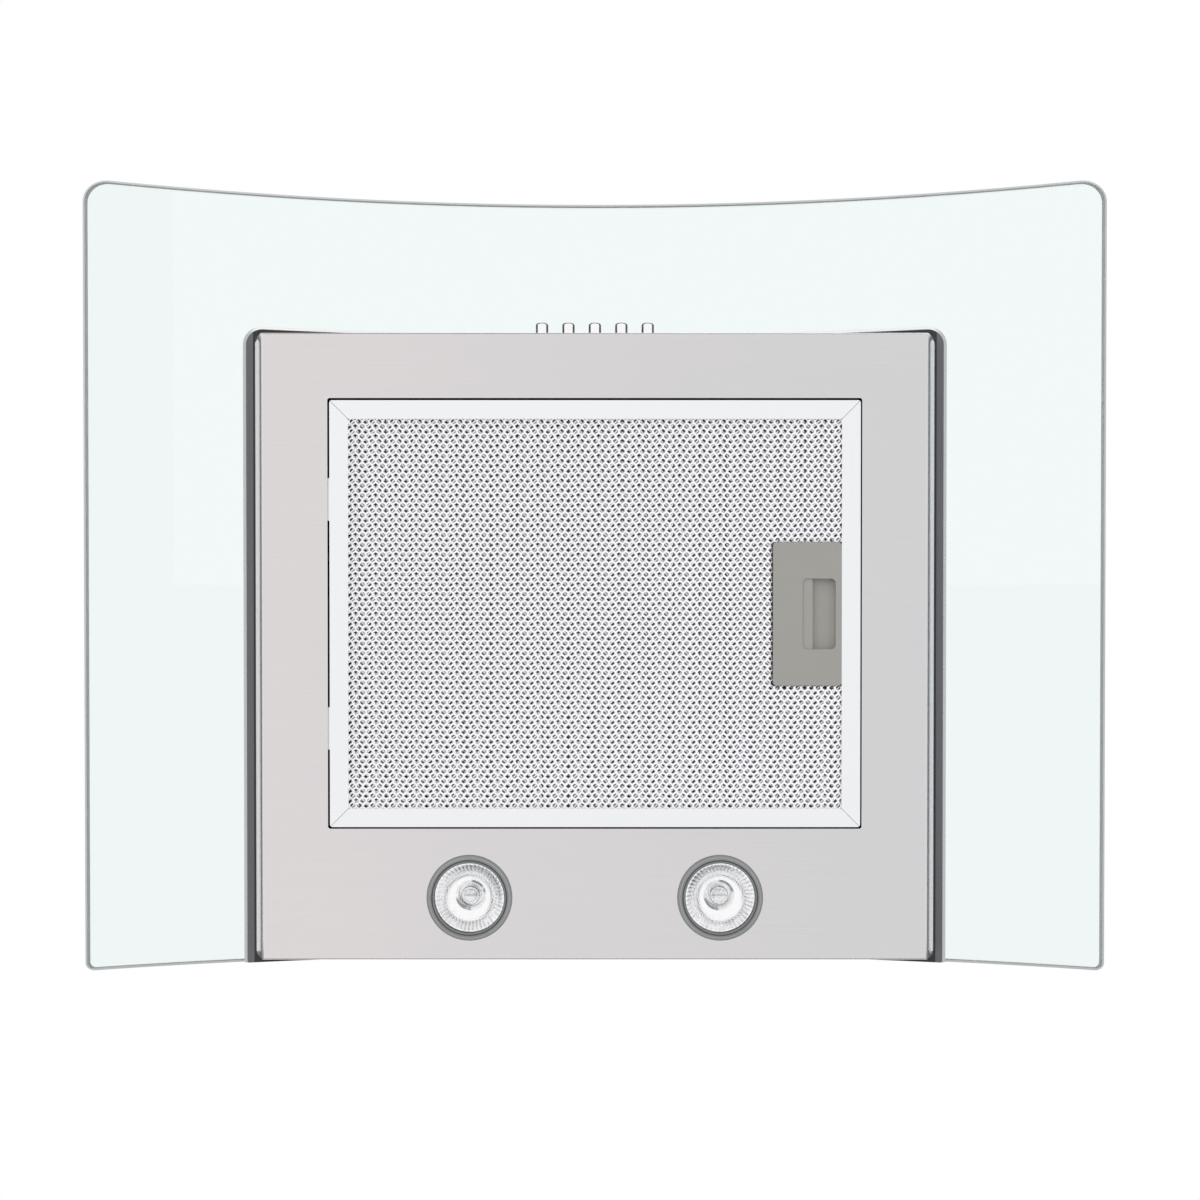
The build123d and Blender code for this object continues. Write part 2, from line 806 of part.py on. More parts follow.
# Impeller: forward-curved blades between a back disc and a front ring
blade_inner = impeller_r - blade_depth
fan_centre = (fan_x, level(fan_height))
with BuildSketch(Plane.XZ) as blade:
    with BuildLine():
        middle = (blade_inner + blade_depth / 2, blade_lean / 2 - blade_bow)
        ThreePointArc((blade_inner, 0), middle, (impeller_r, blade_lean))
        Line((impeller_r, blade_lean), (impeller_r, blade_lean + blade_thick))
        back = (middle[0], middle[1] + blade_thick)
        ThreePointArc((impeller_r, blade_lean + blade_thick), back, (blade_inner, blade_thick))
        Line((blade_inner, blade_thick), (blade_inner, 0))
    make_face()

with BuildPart() as impeller:
    with BuildSketch(Plane.XZ.offset(disc_rear)):
        with Locations(fan_centre):
            Circle(impeller_r + blade_thick)
    extrude(amount=disc_thick)
    with BuildSketch(Plane.XZ.offset(disc_rear + disc_thick)):
        with Locations(fan_centre):
            Circle(hub_r)
    extrude(amount=hub_length - disc_thick)
    fillet(
        impeller.edges().filter_by(GeomType.CIRCLE).filter_by(lambda edge: abs(edge.radius - hub_r) < seat)
        .sort_by(Axis.Y)[-1:],
        radius=hub_flare,
    )
    with BuildSketch(Plane.XZ.offset(disc_rear)):
        with Locations(fan_centre):
            with PolarLocations(0, blade_count):
                add(blade.sketch_local)
    extrude(amount=blade_front - disc_rear)
    with BuildSketch(Plane.XZ.offset(blade_front)):
        with Locations(fan_centre):
            Circle(impeller_r + blade_thick)
            Circle(blade_inner + ring_inset, mode=Mode.SUBTRACT)
    extrude(amount=ring_thick)
    with BuildSketch(Plane.XZ.offset(disc_rear - over)):
        with Locations(fan_centre):
            Circle(shaft_r + seat)
    extrude(amount=hub_length + over + over, mode=Mode.SUBTRACT)
save(impeller, "impeller")

with BuildPart() as motor_shaft:
    with BuildSketch(Plane.XZ.offset(shaft_rear)):
        with Locations(fan_centre):
            Circle(shaft_r)
    extrude(amount=shaft_front - shaft_rear)
    chamfer(motor_shaft.edges().sort_by(Axis.Y)[0], length=shaft_edge)
save(motor_shaft, "motor_shaft")

with BuildPart() as impeller_nut:
    with BuildSketch(Plane.XZ.offset(disc_rear + hub_length)):
        with Locations(fan_centre):
            RegularPolygon(shaft_nut_flats / 2, 6, major_radius=False)
            Circle(shaft_r + seat, mode=Mode.SUBTRACT)
    extrude(amount=shaft_nut)
save(impeller_nut, "impeller_nut")

# Motor: a rounded can with a front boss, on three feet
with BuildPart() as motor_housing:
    with BuildSketch(Plane.XZ.offset(motor_rear)):
        with Locations(fan_centre):
            Circle(motor_r)
    extrude(amount=motor_front - motor_rear)
    fillet(motor_housing.edges().filter_by(GeomType.CIRCLE), radius=motor_edge)
    with BuildSketch(Plane.XZ.offset((motor_front + motor_rear - motor_groove_width) / 2)):
        with Locations(fan_centre):
            Circle(motor_r + over)
            Circle(motor_r - motor_groove, mode=Mode.SUBTRACT)
    extrude(amount=motor_groove_width, mode=Mode.SUBTRACT)
    with BuildSketch(Plane.XZ.offset(motor_front - motor_edge)):
        with Locations(fan_centre):
            Circle(motor_boss_r)
    extrude(amount=motor_edge + motor_boss)
    with BuildSketch(Plane.XZ.offset(foot_place - foot_thick)):
        with Locations(*feet_at):
            Circle(foot_r)
        with Locations(fan_centre):
            with PolarLocations((motor_r - motor_edge + foot_ring_r) / 2, foot_count, start_angle=90):
                Rectangle(foot_ring_r - motor_r + motor_edge, foot_r * 2)
    extrude(amount=foot_thick)
    with BuildSketch(Plane.XZ.offset(foot_place - foot_thick - over)):
        with Locations(*feet_at):
            Circle(bush_neck_r + seat)
    extrude(amount=foot_thick + over + over, mode=Mode.SUBTRACT)
    with BuildSketch(Plane.XZ.offset(shaft_rear - play)):
        with Locations(fan_centre):
            Circle(shaft_r + run)
    extrude(amount=motor_front + motor_boss, mode=Mode.SUBTRACT)
save(motor_housing, "motor_housing")

with BuildPart() as motor_bushes:
    for start, radius, length in (
        (bush_rear, bush_r, bush_side),
        (bush_rear, bush_neck_r, bush_front - bush_rear),
        (foot_place, bush_r, bush_side),
    ):
        with BuildSketch(Plane.XZ.offset(start)):
            with Locations(*feet_at):
                Circle(radius)
                Circle(motor_screw_r + seat, mode=Mode.SUBTRACT)
        extrude(amount=length)
save(motor_bushes, "motor_bushes")

with BuildPart() as motor_screws:
    with BuildSketch(Plane.XZ.offset(bush_rear)):
        with Locations(*feet_at):
            Circle(motor_screw_head_r)
    extrude(amount=-motor_screw_head)
    with BuildSketch(Plane.XZ.offset(bush_rear)):
        with Locations(*feet_at):
            Circle(motor_screw_r)
    extrude(amount=scroll_rear - bush_rear - play)
save(motor_screws, "motor_screws")

# Run capacitor, held to the case's side by a clamp
with BuildPart() as run_capacitor:
    with BuildSketch(Plane.XY.offset(level(capacitor_low))):
        with Locations((capacitor_x, -capacitor_y)):
            Circle(capacitor_r)
    extrude(amount=capacitor_length)
    fillet(run_capacitor.edges().filter_by(GeomType.CIRCLE), radius=capacitor_edge)
    with BuildSketch(Plane.XY.offset(level(capacitor_low + capacitor_length))):
        with Locations((capacitor_x, -capacitor_y)):
            with GridLocations(capacitor_r, 0, 2, 1):
                Rectangle(tab_thick, tab_wide)
    extrude(amount=tab_high)
save(run_capacitor, "run_capacitor")

with BuildPart() as capacitor_clamp:
    clamp_low = capacitor_low + (capacitor_length - clamp_height) / 2
    with BuildSketch(Plane.XY.offset(level(clamp_low))):
        with Locations((capacitor_x, -capacitor_y)):
            Circle(capacitor_r + seat + clamp_wall)
        with Locations(((capacitor_x + case_inside) / 2, -capacitor_y)):
            Rectangle(case_inside - capacitor_x, capacitor_r)
        with Locations((capacitor_x, -capacitor_y)):
            Circle(capacitor_r + seat, mode=Mode.SUBTRACT)
    extrude(amount=clamp_height)
save(capacitor_clamp, "capacitor_clamp")

# Lamp transformer on the same side: a laminated core with its winding standing out
with BuildPart() as lamp_transformer:
    with BuildSketch(Plane.XY.offset(level(core_low + (core_height - coil_height) / 2))):
        with Locations((case_inside - (core_width + coil_bulge) / 2, -core_y)):
            RectangleRounded(core_width + coil_bulge, coil_length, coil_edge)
    extrude(amount=coil_height)
    add(
        block(
            case_inside - core_width,
            case_inside,
            core_y + core_length / 2,
            core_y - core_length / 2,
            core_low,
            core_low + core_height,
        )
    )
save(lamp_transformer, "lamp_transformer")

# Terminal box on the roof, with an upright cable gland
with BuildPart() as terminal_box:
    with BuildSketch(Plane.XY.offset(level(case_top))):
        with Locations((box_x, -box_y)):
            RectangleRounded(box_width, box_depth, box_edge)
    extrude(amount=box_height)
    chamfer(terminal_box.faces().sort_by(Axis.Z)[-1].edges(), length=box_edge / 2)
    with BuildSketch(Plane.XY.offset(level(case_top + box_height - gland_stub))):
        with Locations((box_x, -box_y)):
            Circle(gland_stub_r + seat)
    extrude(amount=gland_stub + over, mode=Mode.SUBTRACT)
save(terminal_box, "terminal_box")

with BuildPart() as cable_gland:
    gland_low = case_top + box_height
    with BuildSketch(Plane.XY.offset(level(gland_low - gland_stub))):
        with Locations((box_x, -box_y)):
            Circle(gland_stub_r)
    extrude(amount=gland_stub)
    with BuildSketch(Plane.XY.offset(level(gland_low))):
        with Locations((box_x, -box_y)):
            RegularPolygon(gland_r, 6, major_radius=False)
    extrude(amount=gland_body)
    with BuildSketch(Plane.XY.offset(level(gland_low + gland_body))):
        with Locations((box_x, -box_y)):
            Circle(gland_cap_r)
    extrude(amount=gland_cap)
    fillet(cable_gland.faces().sort_by(Axis.Z)[-1].edges(), radius=gland_edge)
    with BuildSketch(Plane.XY.offset(level(gland_low - gland_stub - over))):
        with Locations((box_x, -box_y)):
            Circle(gland_bore_r)
    extrude(amount=gland_stub + gland_body + gland_cap + over + over, mode=Mode.SUBTRACT)
save(cable_gland, "cable_gland")

# Duct collar with a flange on the roof and a ledge that the damper's flaps rest on
pin_height = case_top + damper_height
ledge_top = pin_height - flap_drop - flap_thick - ledge_gap
collar_inside = collar_r - collar_wall
with BuildPart() as duct_collar:
    for low, high, outer, inner in (
        (case_top, case_top + collar_flange, collar_flange_r, collar_inside),
        (case_top, case_top + collar_height, collar_r, collar_inside),
        (ledge_top - ledge_thick, ledge_top, collar_inside + collar_wall / 2, collar_inside - ledge_width),
    ):
        with BuildSketch(Plane.XY.offset(level(low))):
            with Locations((0, -collar_y)):
                Circle(outer)
                Circle(inner, mode=Mode.SUBTRACT)
        extrude(amount=high - low)
    with BuildSketch(Plane.XY.offset(level(case_top - over))):
        with Locations(*collar_screws_at):
            Circle(tap_r + seat)
    extrude(amount=collar_flange + over + over, mode=Mode.SUBTRACT)
    with BuildSketch(Plane.YZ.offset(-collar_r - over)):
        with Locations((-collar_y, level(pin_height))):
            Circle(damper_pin_r + seat)
    extrude(amount=(collar_r + over) * 2, mode=Mode.SUBTRACT)
save(duct_collar, "duct_collar")

with BuildPart() as damper_pin:
    with BuildSketch(Plane.YZ.offset(-collar_r)):
        with Locations((-collar_y, level(pin_height))):
            Circle(damper_pin_r)
    extrude(amount=collar_r * 2)
save(damper_pin, "damper_pin")

# Damper: two half discs that hang on the pin by alternate knuckles. side is -1 at the front, 1 at the rear
flap_r = collar_inside - flap_play
knuckle_length = (collar_inside - flap_play - knuckle_gap) / 2
for side, name in ((-1, "damper_flap_front"), (1, "damper_flap_rear")):
    with BuildPart() as flap:
        with BuildSketch(Plane.XY.offset(level(pin_height - flap_drop - flap_thick))):
            with Locations((0, -collar_y)):
                Circle(flap_r)
            with Locations((0, -collar_y - side * (flap_r - flap_edge) / 2)):
                Rectangle(flap_r * 2 + over, flap_r + flap_edge, mode=Mode.SUBTRACT)
            for start in (-2, 0):
                middle_x = (start + 0.5 + (side + 1) / 2) * knuckle_length
                with Locations((middle_x, -collar_y + side * (flap_edge + knuckle_gap) / 2)):
                    Rectangle(knuckle_length - knuckle_gap, flap_edge + knuckle_gap)
        extrude(amount=flap_thick)
        for start in (-2, 0):
            low_x = (start + (side + 1) / 2) * knuckle_length + knuckle_gap / 2
            with BuildSketch(Plane.YZ.offset(low_x)):
                with Locations((-collar_y, level(pin_height))):
                    Circle(knuckle_r)
            extrude(amount=knuckle_length - knuckle_gap)
        with BuildSketch(Plane.YZ.offset(-collar_r)):
            with Locations((-collar_y, level(pin_height))):
                Circle(damper_pin_r + run)
        extrude(amount=collar_r * 2, mode=Mode.SUBTRACT)
    save(flap, name)


# Chimney: two telescopic sleeves, open to the wall
def sleeve(width, depth, rear, wall, low, high):
    """Folded sleeve with small inward flanges at the wall, between two heights."""
    with BuildPart() as shell:
        with BuildSketch(Plane.XY.offset(level(low))) as section:
            with Locations((0, -(depth + rear) / 2)):
                Rectangle(width, depth - rear)
                fillet(section.vertices().sort_by(Axis.Y)[:2], radius=chimney_corner_r)
                Rectangle(width - wall * 2, depth - rear - wall * 2, mode=Mode.SUBTRACT)
            with Locations((0, -rear - wall / 2)):
                Rectangle(width - (wall + chimney_lip) * 2, wall + over, mode=Mode.SUBTRACT)
        extrude(amount=high - low)
    return shell.part


with BuildPart() as lower_chimney:
    add(sleeve(chimney_width, chimney_depth, 0, chimney_wall, 0, chimney_top))
    add(below_arch(glass_top_r + sit, glass_width / 2, glass_depth), mode=Mode.SUBTRACT)
save(lower_chimney, "lower_chimney")

upper_half = chimney_width / 2 - chimney_wall - upper_gap
upper_front = chimney_depth - chimney_wall - upper_gap
upper_rear = chimney_wall + play
bracket_low = upper_top - bracket_drop - bracket_height
bracket_middle = level(bracket_low + bracket_height / 2)
with BuildPart() as upper_chimney:
    add(sleeve(upper_half * 2, upper_front, upper_rear, upper_wall, upper_top - upper_length, upper_top))
    with BuildSketch(Plane.YZ.offset(-chimney_width)):
        vent_middle = upper_top - vent_drop - (vent_count - 1) * vent_pitch / 2
        with Locations((-chimney_depth / 2, level(vent_middle))):
            with GridLocations(0, vent_pitch, 1, vent_count):
                SlotOverall(vent_length, vent_height)
    extrude(amount=chimney_width * 2, mode=Mode.SUBTRACT)
    with BuildSketch(Plane.YZ.offset(-chimney_width)):
        with Locations((-bracket_screw_y, bracket_middle)):
            Circle(tap_r + seat)
    extrude(amount=chimney_width * 2, mode=Mode.SUBTRACT)
save(upper_chimney, "upper_chimney")

# Wall bracket inside the top of the upper sleeve
bracket_half = upper_half - upper_wall - seat
bracket_rear = upper_rear + upper_wall + seat
with BuildPart() as chimney_bracket:
    with BuildSketch(Plane.XY.offset(level(bracket_low))):
        with Locations((0, -bracket_rear - bracket_arm / 2)):
            Rectangle(bracket_half * 2, bracket_arm)
        with Locations((0, -bracket_rear - bracket_thick - bracket_arm / 2)):
            Rectangle((bracket_half - bracket_thick) * 2, bracket_arm, mode=Mode.SUBTRACT)
    extrude(amount=bracket_height)
    with BuildSketch(Plane.XZ.offset(bracket_rear - over)):
        with Locations((-bracket_spacing / 2, bracket_middle), (bracket_spacing / 2, bracket_middle)):
            Circle(bracket_hole_r)
    extrude(amount=bracket_thick + over + over, mode=Mode.SUBTRACT)
    with BuildSketch(Plane.YZ.offset(-chimney_width)):
        with Locations((-bracket_screw_y, bracket_middle)):
            Circle(tap_r + seat)
    extrude(amount=chimney_width * 2, mode=Mode.SUBTRACT)
save(chimney_bracket, "chimney_bracket")

with BuildPart() as bracket_screws:
    for side in (-1, 1):
        with BuildSketch(Plane.YZ.offset(side * upper_half)):
            with Locations((-bracket_screw_y, bracket_middle)):
                Circle(tap_head_r)
        extrude(amount=side * tap_head)
        with BuildSketch(Plane.YZ.offset(side * upper_half)):
            with Locations((-bracket_screw_y, bracket_middle)):
                Circle(tap_r)
        extrude(amount=-side * tap_length)
save(bracket_screws, "bracket_screws")

# Lamps: bezel ring, glass, reflector, capsule bulb and socket, on each side
lamp_body_r = lamp_hole_r - lamp_fit
lamp_inside_r = lamp_body_r - lamp_ring_wall
lamp_glass_r = lamp_inside_r - sit
glass_low = lamp_lip_thick - lamp_ring_drop + lamp_ring_bevel
reflector_low = glass_low + lamp_glass_thick + seat
neck_height = reflector_low + reflector_height
socket_low = neck_height + reflector_wall + seat
for side, name in ((-1, "left"), (1, "right")):
    lamp_plane = Plane(origin=(side * lamp_x, -lamp_y, level(0)), x_dir=(1, 0, 0), z_dir=(0, -1, 0))
    lamp_axis = Axis((side * lamp_x, -lamp_y, 0), (0, 0, 1))

    with BuildPart() as lamp_ring:
        with BuildSketch(lamp_plane):
            with BuildLine():
                Polyline(
                    (lamp_lip_r, lamp_ring_bevel - lamp_ring_drop),
                    (lamp_hole_r - lamp_ring_bevel, -lamp_ring_drop),
                    (lamp_hole_r, lamp_ring_bevel - lamp_ring_drop),
                    (lamp_hole_r + lamp_ring_bevel, -lamp_ring_drop),
                    (lamp_ring_r, -lamp_ring_bevel),
                    (lamp_ring_r, 0),
                    (lamp_body_r, 0),
                    (lamp_body_r, lamp_body_height),
                    (lamp_inside_r, lamp_body_height),
                    (lamp_inside_r, glass_low),
                    (lamp_lip_r, glass_low),
                    close=True,
                )
            make_face()
        revolve(axis=lamp_axis)
    save(lamp_ring, "lamp_ring_" + name)

    with BuildPart() as lamp_glass:
        with BuildSketch(Plane.XY.offset(level(glass_low))):
            with Locations((side * lamp_x, -lamp_y)):
                Circle(lamp_glass_r)
        extrude(amount=lamp_glass_thick)
    save(lamp_glass, "lamp_glass_" + name)

    with BuildPart() as lamp_reflector:
        with BuildSketch(lamp_plane):
            with BuildLine():
                mouth_r = lamp_glass_r - reflector_wall
                bowl_r = mouth_r * bowl_share
                bowl = reflector_low + reflector_height * bowl_height_share
                ThreePointArc((mouth_r, reflector_low), (bowl_r, bowl), (reflector_neck_r, neck_height))
                Line((reflector_neck_r, neck_height), (reflector_neck_r, neck_height + reflector_wall))
                ThreePointArc(
                    (reflector_neck_r, neck_height + reflector_wall),
                    (bowl_r + reflector_wall, bowl),
                    (lamp_glass_r, reflector_low),
                )
                Line((lamp_glass_r, reflector_low), (mouth_r, reflector_low))
            make_face()
        revolve(axis=lamp_axis)
    save(lamp_reflector, "lamp_reflector_" + name)

    with BuildPart() as lamp_socket:
        with BuildSketch(Plane.XY.offset(level(socket_low))):
            with Locations((side * lamp_x, -lamp_y)):
                Circle(reflector_neck_r + reflector_wall)
        extrude(amount=socket_flange)
        with BuildSketch(Plane.XY.offset(level(socket_low + socket_flange))):
            with Locations((side * lamp_x, -lamp_y)):
                Circle(socket_r)
        extrude(amount=socket_height - socket_flange)
        with BuildSketch(Plane.XY.offset(level(socket_low - over))):
            with Locations((side * lamp_x, -lamp_y)):
                Rectangle(bulb_r * 2 + seat * 2, bulb_pinch + seat * 2)
        extrude(amount=over + bulb_pin, mode=Mode.SUBTRACT)
    save(lamp_socket, "lamp_socket_" + name)

    with BuildPart() as lamp_bulb:
        with BuildSketch(Plane.XY.offset(level(socket_low - play - bulb_height))):
            with Locations((side * lamp_x, -lamp_y)):
                Circle(bulb_r)
        extrude(amount=bulb_height)
        fillet(lamp_bulb.faces().sort_by(Axis.Z)[0].edges(), radius=bulb_r * bulb_tip_share)
        with BuildSketch(Plane.XY.offset(level(socket_low - play - play))):
            with Locations((side * lamp_x, -lamp_y)):
                Rectangle(bulb_r * 2 * pinch_share, bulb_pinch)
        extrude(amount=play + bulb_pin)
    save(lamp_bulb, "lamp_bulb_" + name)

# Spring clips that hold each lamp ring up against the tray
with BuildPart() as lamp_clips:
    for side in (-1, 1):
        for way in (-1, 1):
            stem_x = side * lamp_x + way * (lamp_hole_r + seat)
            for reach, top in ((clip_reach, sheet + clip_thick), (clip_thick, clip_height)):
                low_x, high_x = sorted((stem_x, stem_x + way * reach))
                add(block(low_x, high_x, lamp_y + clip_width / 2, lamp_y - clip_width / 2, sheet, top))
save(lamp_clips, "lamp_clips")

# Switch block behind the front wall, on the wall's two studs
ear_x = switch_width / 2 + ear_reach
stem_end = tray_front - button_inside - button_stem  # rear end of a button's stem, from the wall
with BuildPart() as switch_block:
    add(
        block(
            -switch_width / 2,
            switch_width / 2,
            wall_inside,
            wall_inside - switch_depth,
            switch_low,
            switch_high,
        )
    )
    chamfer(switch_block.faces().sort_by(Axis.Y)[-1].edges(), length=switch_edge)
    add(
        block(
            -ear_x,
            ear_x,
            wall_inside,
            wall_inside - ear_thick,
            button_height - ear_reach / 2,
            button_height + ear_reach / 2,
        )
    )
    with BuildSketch(Plane.XZ.offset(wall_inside - ear_thick - over)):
        with Locations((-stud_x, level(button_height)), (stud_x, level(button_height))):
            Circle(stud_r + seat)
    extrude(amount=ear_thick + over + over, mode=Mode.SUBTRACT)
    with BuildSketch(Plane.XZ.offset(wall_inside - switch_bore)):
        with Locations(*[(x, level(button_height)) for x in button_places]):
            Circle(button_hole_r)
    extrude(amount=switch_bore + over, mode=Mode.SUBTRACT)
    with BuildSketch(Plane.XZ.offset(stem_end - button_travel - play)):
        with Locations(*[(x, level(button_height)) for x in button_places]):
            Circle(stem_bore_r)
    extrude(amount=button_stem, mode=Mode.SUBTRACT)
save(switch_block, "switch_block")

with BuildPart() as switch_nuts:
    with BuildSketch(Plane.XZ.offset(wall_inside - ear_thick)):
        with Locations((-stud_x, level(button_height)), (stud_x, level(button_height))):
            RegularPolygon(nut_flats / 2, 6, major_radius=False)
            Circle(stud_r + seat, mode=Mode.SUBTRACT)
    extrude(amount=-nut_thick)
save(switch_nuts, "switch_nuts")

# Push buttons, from the left
for x, name in zip(button_places, ("light", "off", "low", "medium", "high")):
    with BuildPart() as button:
        with BuildSketch(Plane.XZ.offset(tray_front - button_inside)):
            with Locations((x, level(button_height))):
                Circle(button_r)
        extrude(amount=button_inside + button_proud)
        fillet(button.faces().sort_by(Axis.Y)[0].edges(), radius=button_tip_r)
        with BuildSketch(Plane.XZ.offset(stem_end)):
            with Locations((x, level(button_height))):
                Circle(button_stem_r)
        extrude(amount=button_stem)
    save(button, "button_" + name)

# Filter frame: four channel rails, mitred at the corners
filter_left = -opening_half + gap_left
filter_right = opening_half - gap_right
filter_front = opening_front - gap_front
filter_rear = opening_rear + gap_rear


def frame_corner(column, row, inset):
    """Corner of the filter in plan, moved inwards by inset. column and row are -1 or 1 along +X and +Y."""
    x = filter_left + inset if column < 0 else filter_right - inset
    y = -filter_front + inset if row < 0 else -filter_rear - inset
    return (x, y)


def mitred_strip(first, second, outer, inner, low, high):
    """Strip between two corners of the filter and two insets, cut off at the mitres."""
    with BuildPart() as strip:
        with BuildSketch(Plane.XY.offset(level(low))):
            with BuildLine():
                Polyline(
                    frame_corner(*first, outer),
                    frame_corner(*second, outer),
                    frame_corner(*second, inner),
                    frame_corner(*first, inner),
                    close=True,
                )
            make_face()
        extrude(amount=high - low)
    return strip.part


tongue_low = (rail_thick - tongue_thick) / 2
tongue_high = (rail_thick + tongue_thick) / 2
for name, first, second in (
    ("left", (-1, -1), (-1, 1)),
    ("right", (1, -1), (1, 1)),
    ("front", (-1, -1), (1, -1)),
    ("rear", (-1, 1), (1, 1)),
):
    with BuildPart() as rail:
        add(mitred_strip(first, second, 0, rail_face, 0, rail_thick))
        add(
            mitred_strip(first, second, rail_wall, rail_face + over, rail_wall, rail_thick - rail_wall),
            mode=Mode.SUBTRACT,
        )
        with BuildSketch(Plane.XY.offset(level(-over))):
            with Locations(((filter_left + filter_right) / 2, -(filter_front + filter_rear) / 2)):
                RectangleRounded(filter_right - filter_left, filter_front - filter_rear, rail_corner_r)
        extrude(amount=rail_thick + over + over, mode=Mode.INTERSECT)
        if name == "left":
            for offset_y in (-hook_offset, hook_offset):
                hook_middle = filter_middle + offset_y
                add(
                    block(
                        filter_left - hook_reach,
                        filter_left + rail_wall / 2,
                        hook_middle + hook_length / 2,
                        hook_middle - hook_length / 2,
                        hook_height,
                        hook_height + hook_thick,
                    )
                )
        if name == "right":
            add(
                block(
                    filter_right - rail_wall - over,
                    filter_right + over,
                    filter_middle + tongue_width / 2 + play,
                    filter_middle - tongue_width / 2 - play,
                    tongue_low - play,
                    tongue_high + play,
                ),
                mode=Mode.SUBTRACT,
            )
    save(rail, "filter_rail_" + name)

# Filter media inside the channels: two sheets of expanded mesh with a corrugated core between them
media_inset = rail_wall + play
latch_half = latch_length / 2
latch_right = filter_right - rail_face - seat
mesh_left = filter_left + rail_face
mesh_right = filter_right - rail_face
mesh_front = filter_front - rail_face
mesh_rear = filter_rear + rail_face
front_sheet_low = rail_wall + sit
back_sheet_low = rail_thick - rail_wall - sit - mesh_thick


def media_sheet(low, high):
    """Plain sheet that fills the frame's channels between two heights."""
    with BuildPart() as plain:
        with BuildSketch(Plane.XY.offset(level(low))):
            with BuildLine():
                Polyline(
                    frame_corner(-1, -1, media_inset),
                    frame_corner(1, -1, media_inset),
                    frame_corner(1, 1, media_inset),
                    frame_corner(-1, 1, media_inset),
                    close=True,
                )
            make_face()
        extrude(amount=high - low)
    return plain.part


def mesh_gaps(columns, rows, low, high):
    """Staggered diamond gaps of an expanded mesh, over the frame's window."""
    pitch_x = (mesh_right - mesh_left) / columns
    pitch_y = (mesh_front - mesh_rear) / rows
    half_x = (pitch_x - mesh_strand) / 2
    half_y = pitch_y * half_x * 2 / pitch_x
    straight = []
    for row in range(rows):
        shift = row % 2
        y = -mesh_front + pitch_y * (row + 1 / 2)
        for column in range(columns - shift):
            straight.append((mesh_left + pitch_x * (column + (1 + shift) / 2), y))
    inner = [place for place in straight if mesh_rear + half_y < -place[1] < mesh_front - half_y]
    with BuildPart() as gaps:
        with BuildSketch(Plane.XY.offset(level(low - over))):
            with Locations(*inner):
                Polygon((-half_x, 0), (0, -half_y), (half_x, 0), (0, half_y), align=None)
        extrude(amount=high - low + over + over)
    return gaps.part


latch_pocket = block(
    latch_left - play,
    latch_right + rail_face,
    filter_middle + latch_half + play,
    filter_middle - latch_half - play,
    0,
    rail_thick,
)
front_sheet_high = front_sheet_low + mesh_thick
with BuildPart() as filter_mesh_front:
    add(media_sheet(front_sheet_low, front_sheet_high))
    add(mesh_gaps(mesh_columns, mesh_rows, front_sheet_low, front_sheet_high), mode=Mode.SUBTRACT)
    add(latch_pocket, mode=Mode.SUBTRACT)
save(filter_mesh_front, "filter_mesh_front")

core_left = filter_left + media_inset + core_sheet
core_run = (filter_right - media_inset - core_sheet - core_left) / core_folds
core_levels = (front_sheet_high + core_sheet, back_sheet_low - core_sheet)
with BuildPart() as filter_core:
    with BuildSketch(Plane.XZ.offset(filter_rear + media_inset)):
        with BuildLine():
            Polyline(*[(core_left + core_run * n, level(core_levels[n % 2])) for n in range(core_folds + 1)])
        trace(line_width=core_sheet)
    extrude(amount=filter_front - filter_rear - media_inset * 2)
    add(latch_pocket, mode=Mode.SUBTRACT)
save(filter_core, "filter_core")

with BuildPart() as filter_mesh_back:
    add(media_sheet(back_sheet_low, back_sheet_low + mesh_thick))
    add(
        mesh_gaps(mesh_columns // 2, mesh_rows // 2, back_sheet_low, back_sheet_low + mesh_thick),
        mode=Mode.SUBTRACT,
    )
save(filter_mesh_back, "filter_mesh_back")

# Latch: a flat housing with a finger window, a spring-loaded slider and its tongue
cavity_low = latch_inset + latch_face
latch_top = back_sheet_low - sit
cavity_high = latch_top - latch_back
window_half = window_length / 2
slider_low = cavity_low + latch_fit
slider_high = cavity_high - latch_fit
slider_half = window_half + slider_side
slider_left = window_left - slider_tail
slider_right = window_right + slider_head
with BuildPart() as latch_cover:
    with BuildSketch(Plane.XY.offset(level(latch_inset))):
        with Locations(((latch_left + latch_right) / 2, -filter_middle)):
            RectangleRounded(latch_right - latch_left, latch_length, latch_corner_r)
    extrude(amount=latch_top - latch_inset)
    add(
        block(
            latch_left + latch_wall,
            slider_right + latch_fit,
            filter_middle + slider_half + play,
            filter_middle - slider_half - play,
            cavity_low,
            cavity_high,
        ),
        mode=Mode.SUBTRACT,
    )
    with BuildSketch(Plane.XY.offset(level(-over))):
        with Locations(((window_left + window_right) / 2, -filter_middle)):
            RectangleRounded(window_right - window_left, window_length, window_corner_r)
    extrude(amount=cavity_low + over + seat, mode=Mode.SUBTRACT)
    add(
        block(
            slider_right,
            latch_right + over,
            filter_middle + tongue_width / 2 + play,
            filter_middle - tongue_width / 2 - play,
            tongue_low - play,
            tongue_high + play,
        ),
        mode=Mode.SUBTRACT,
    )
save(latch_cover, "latch_cover")

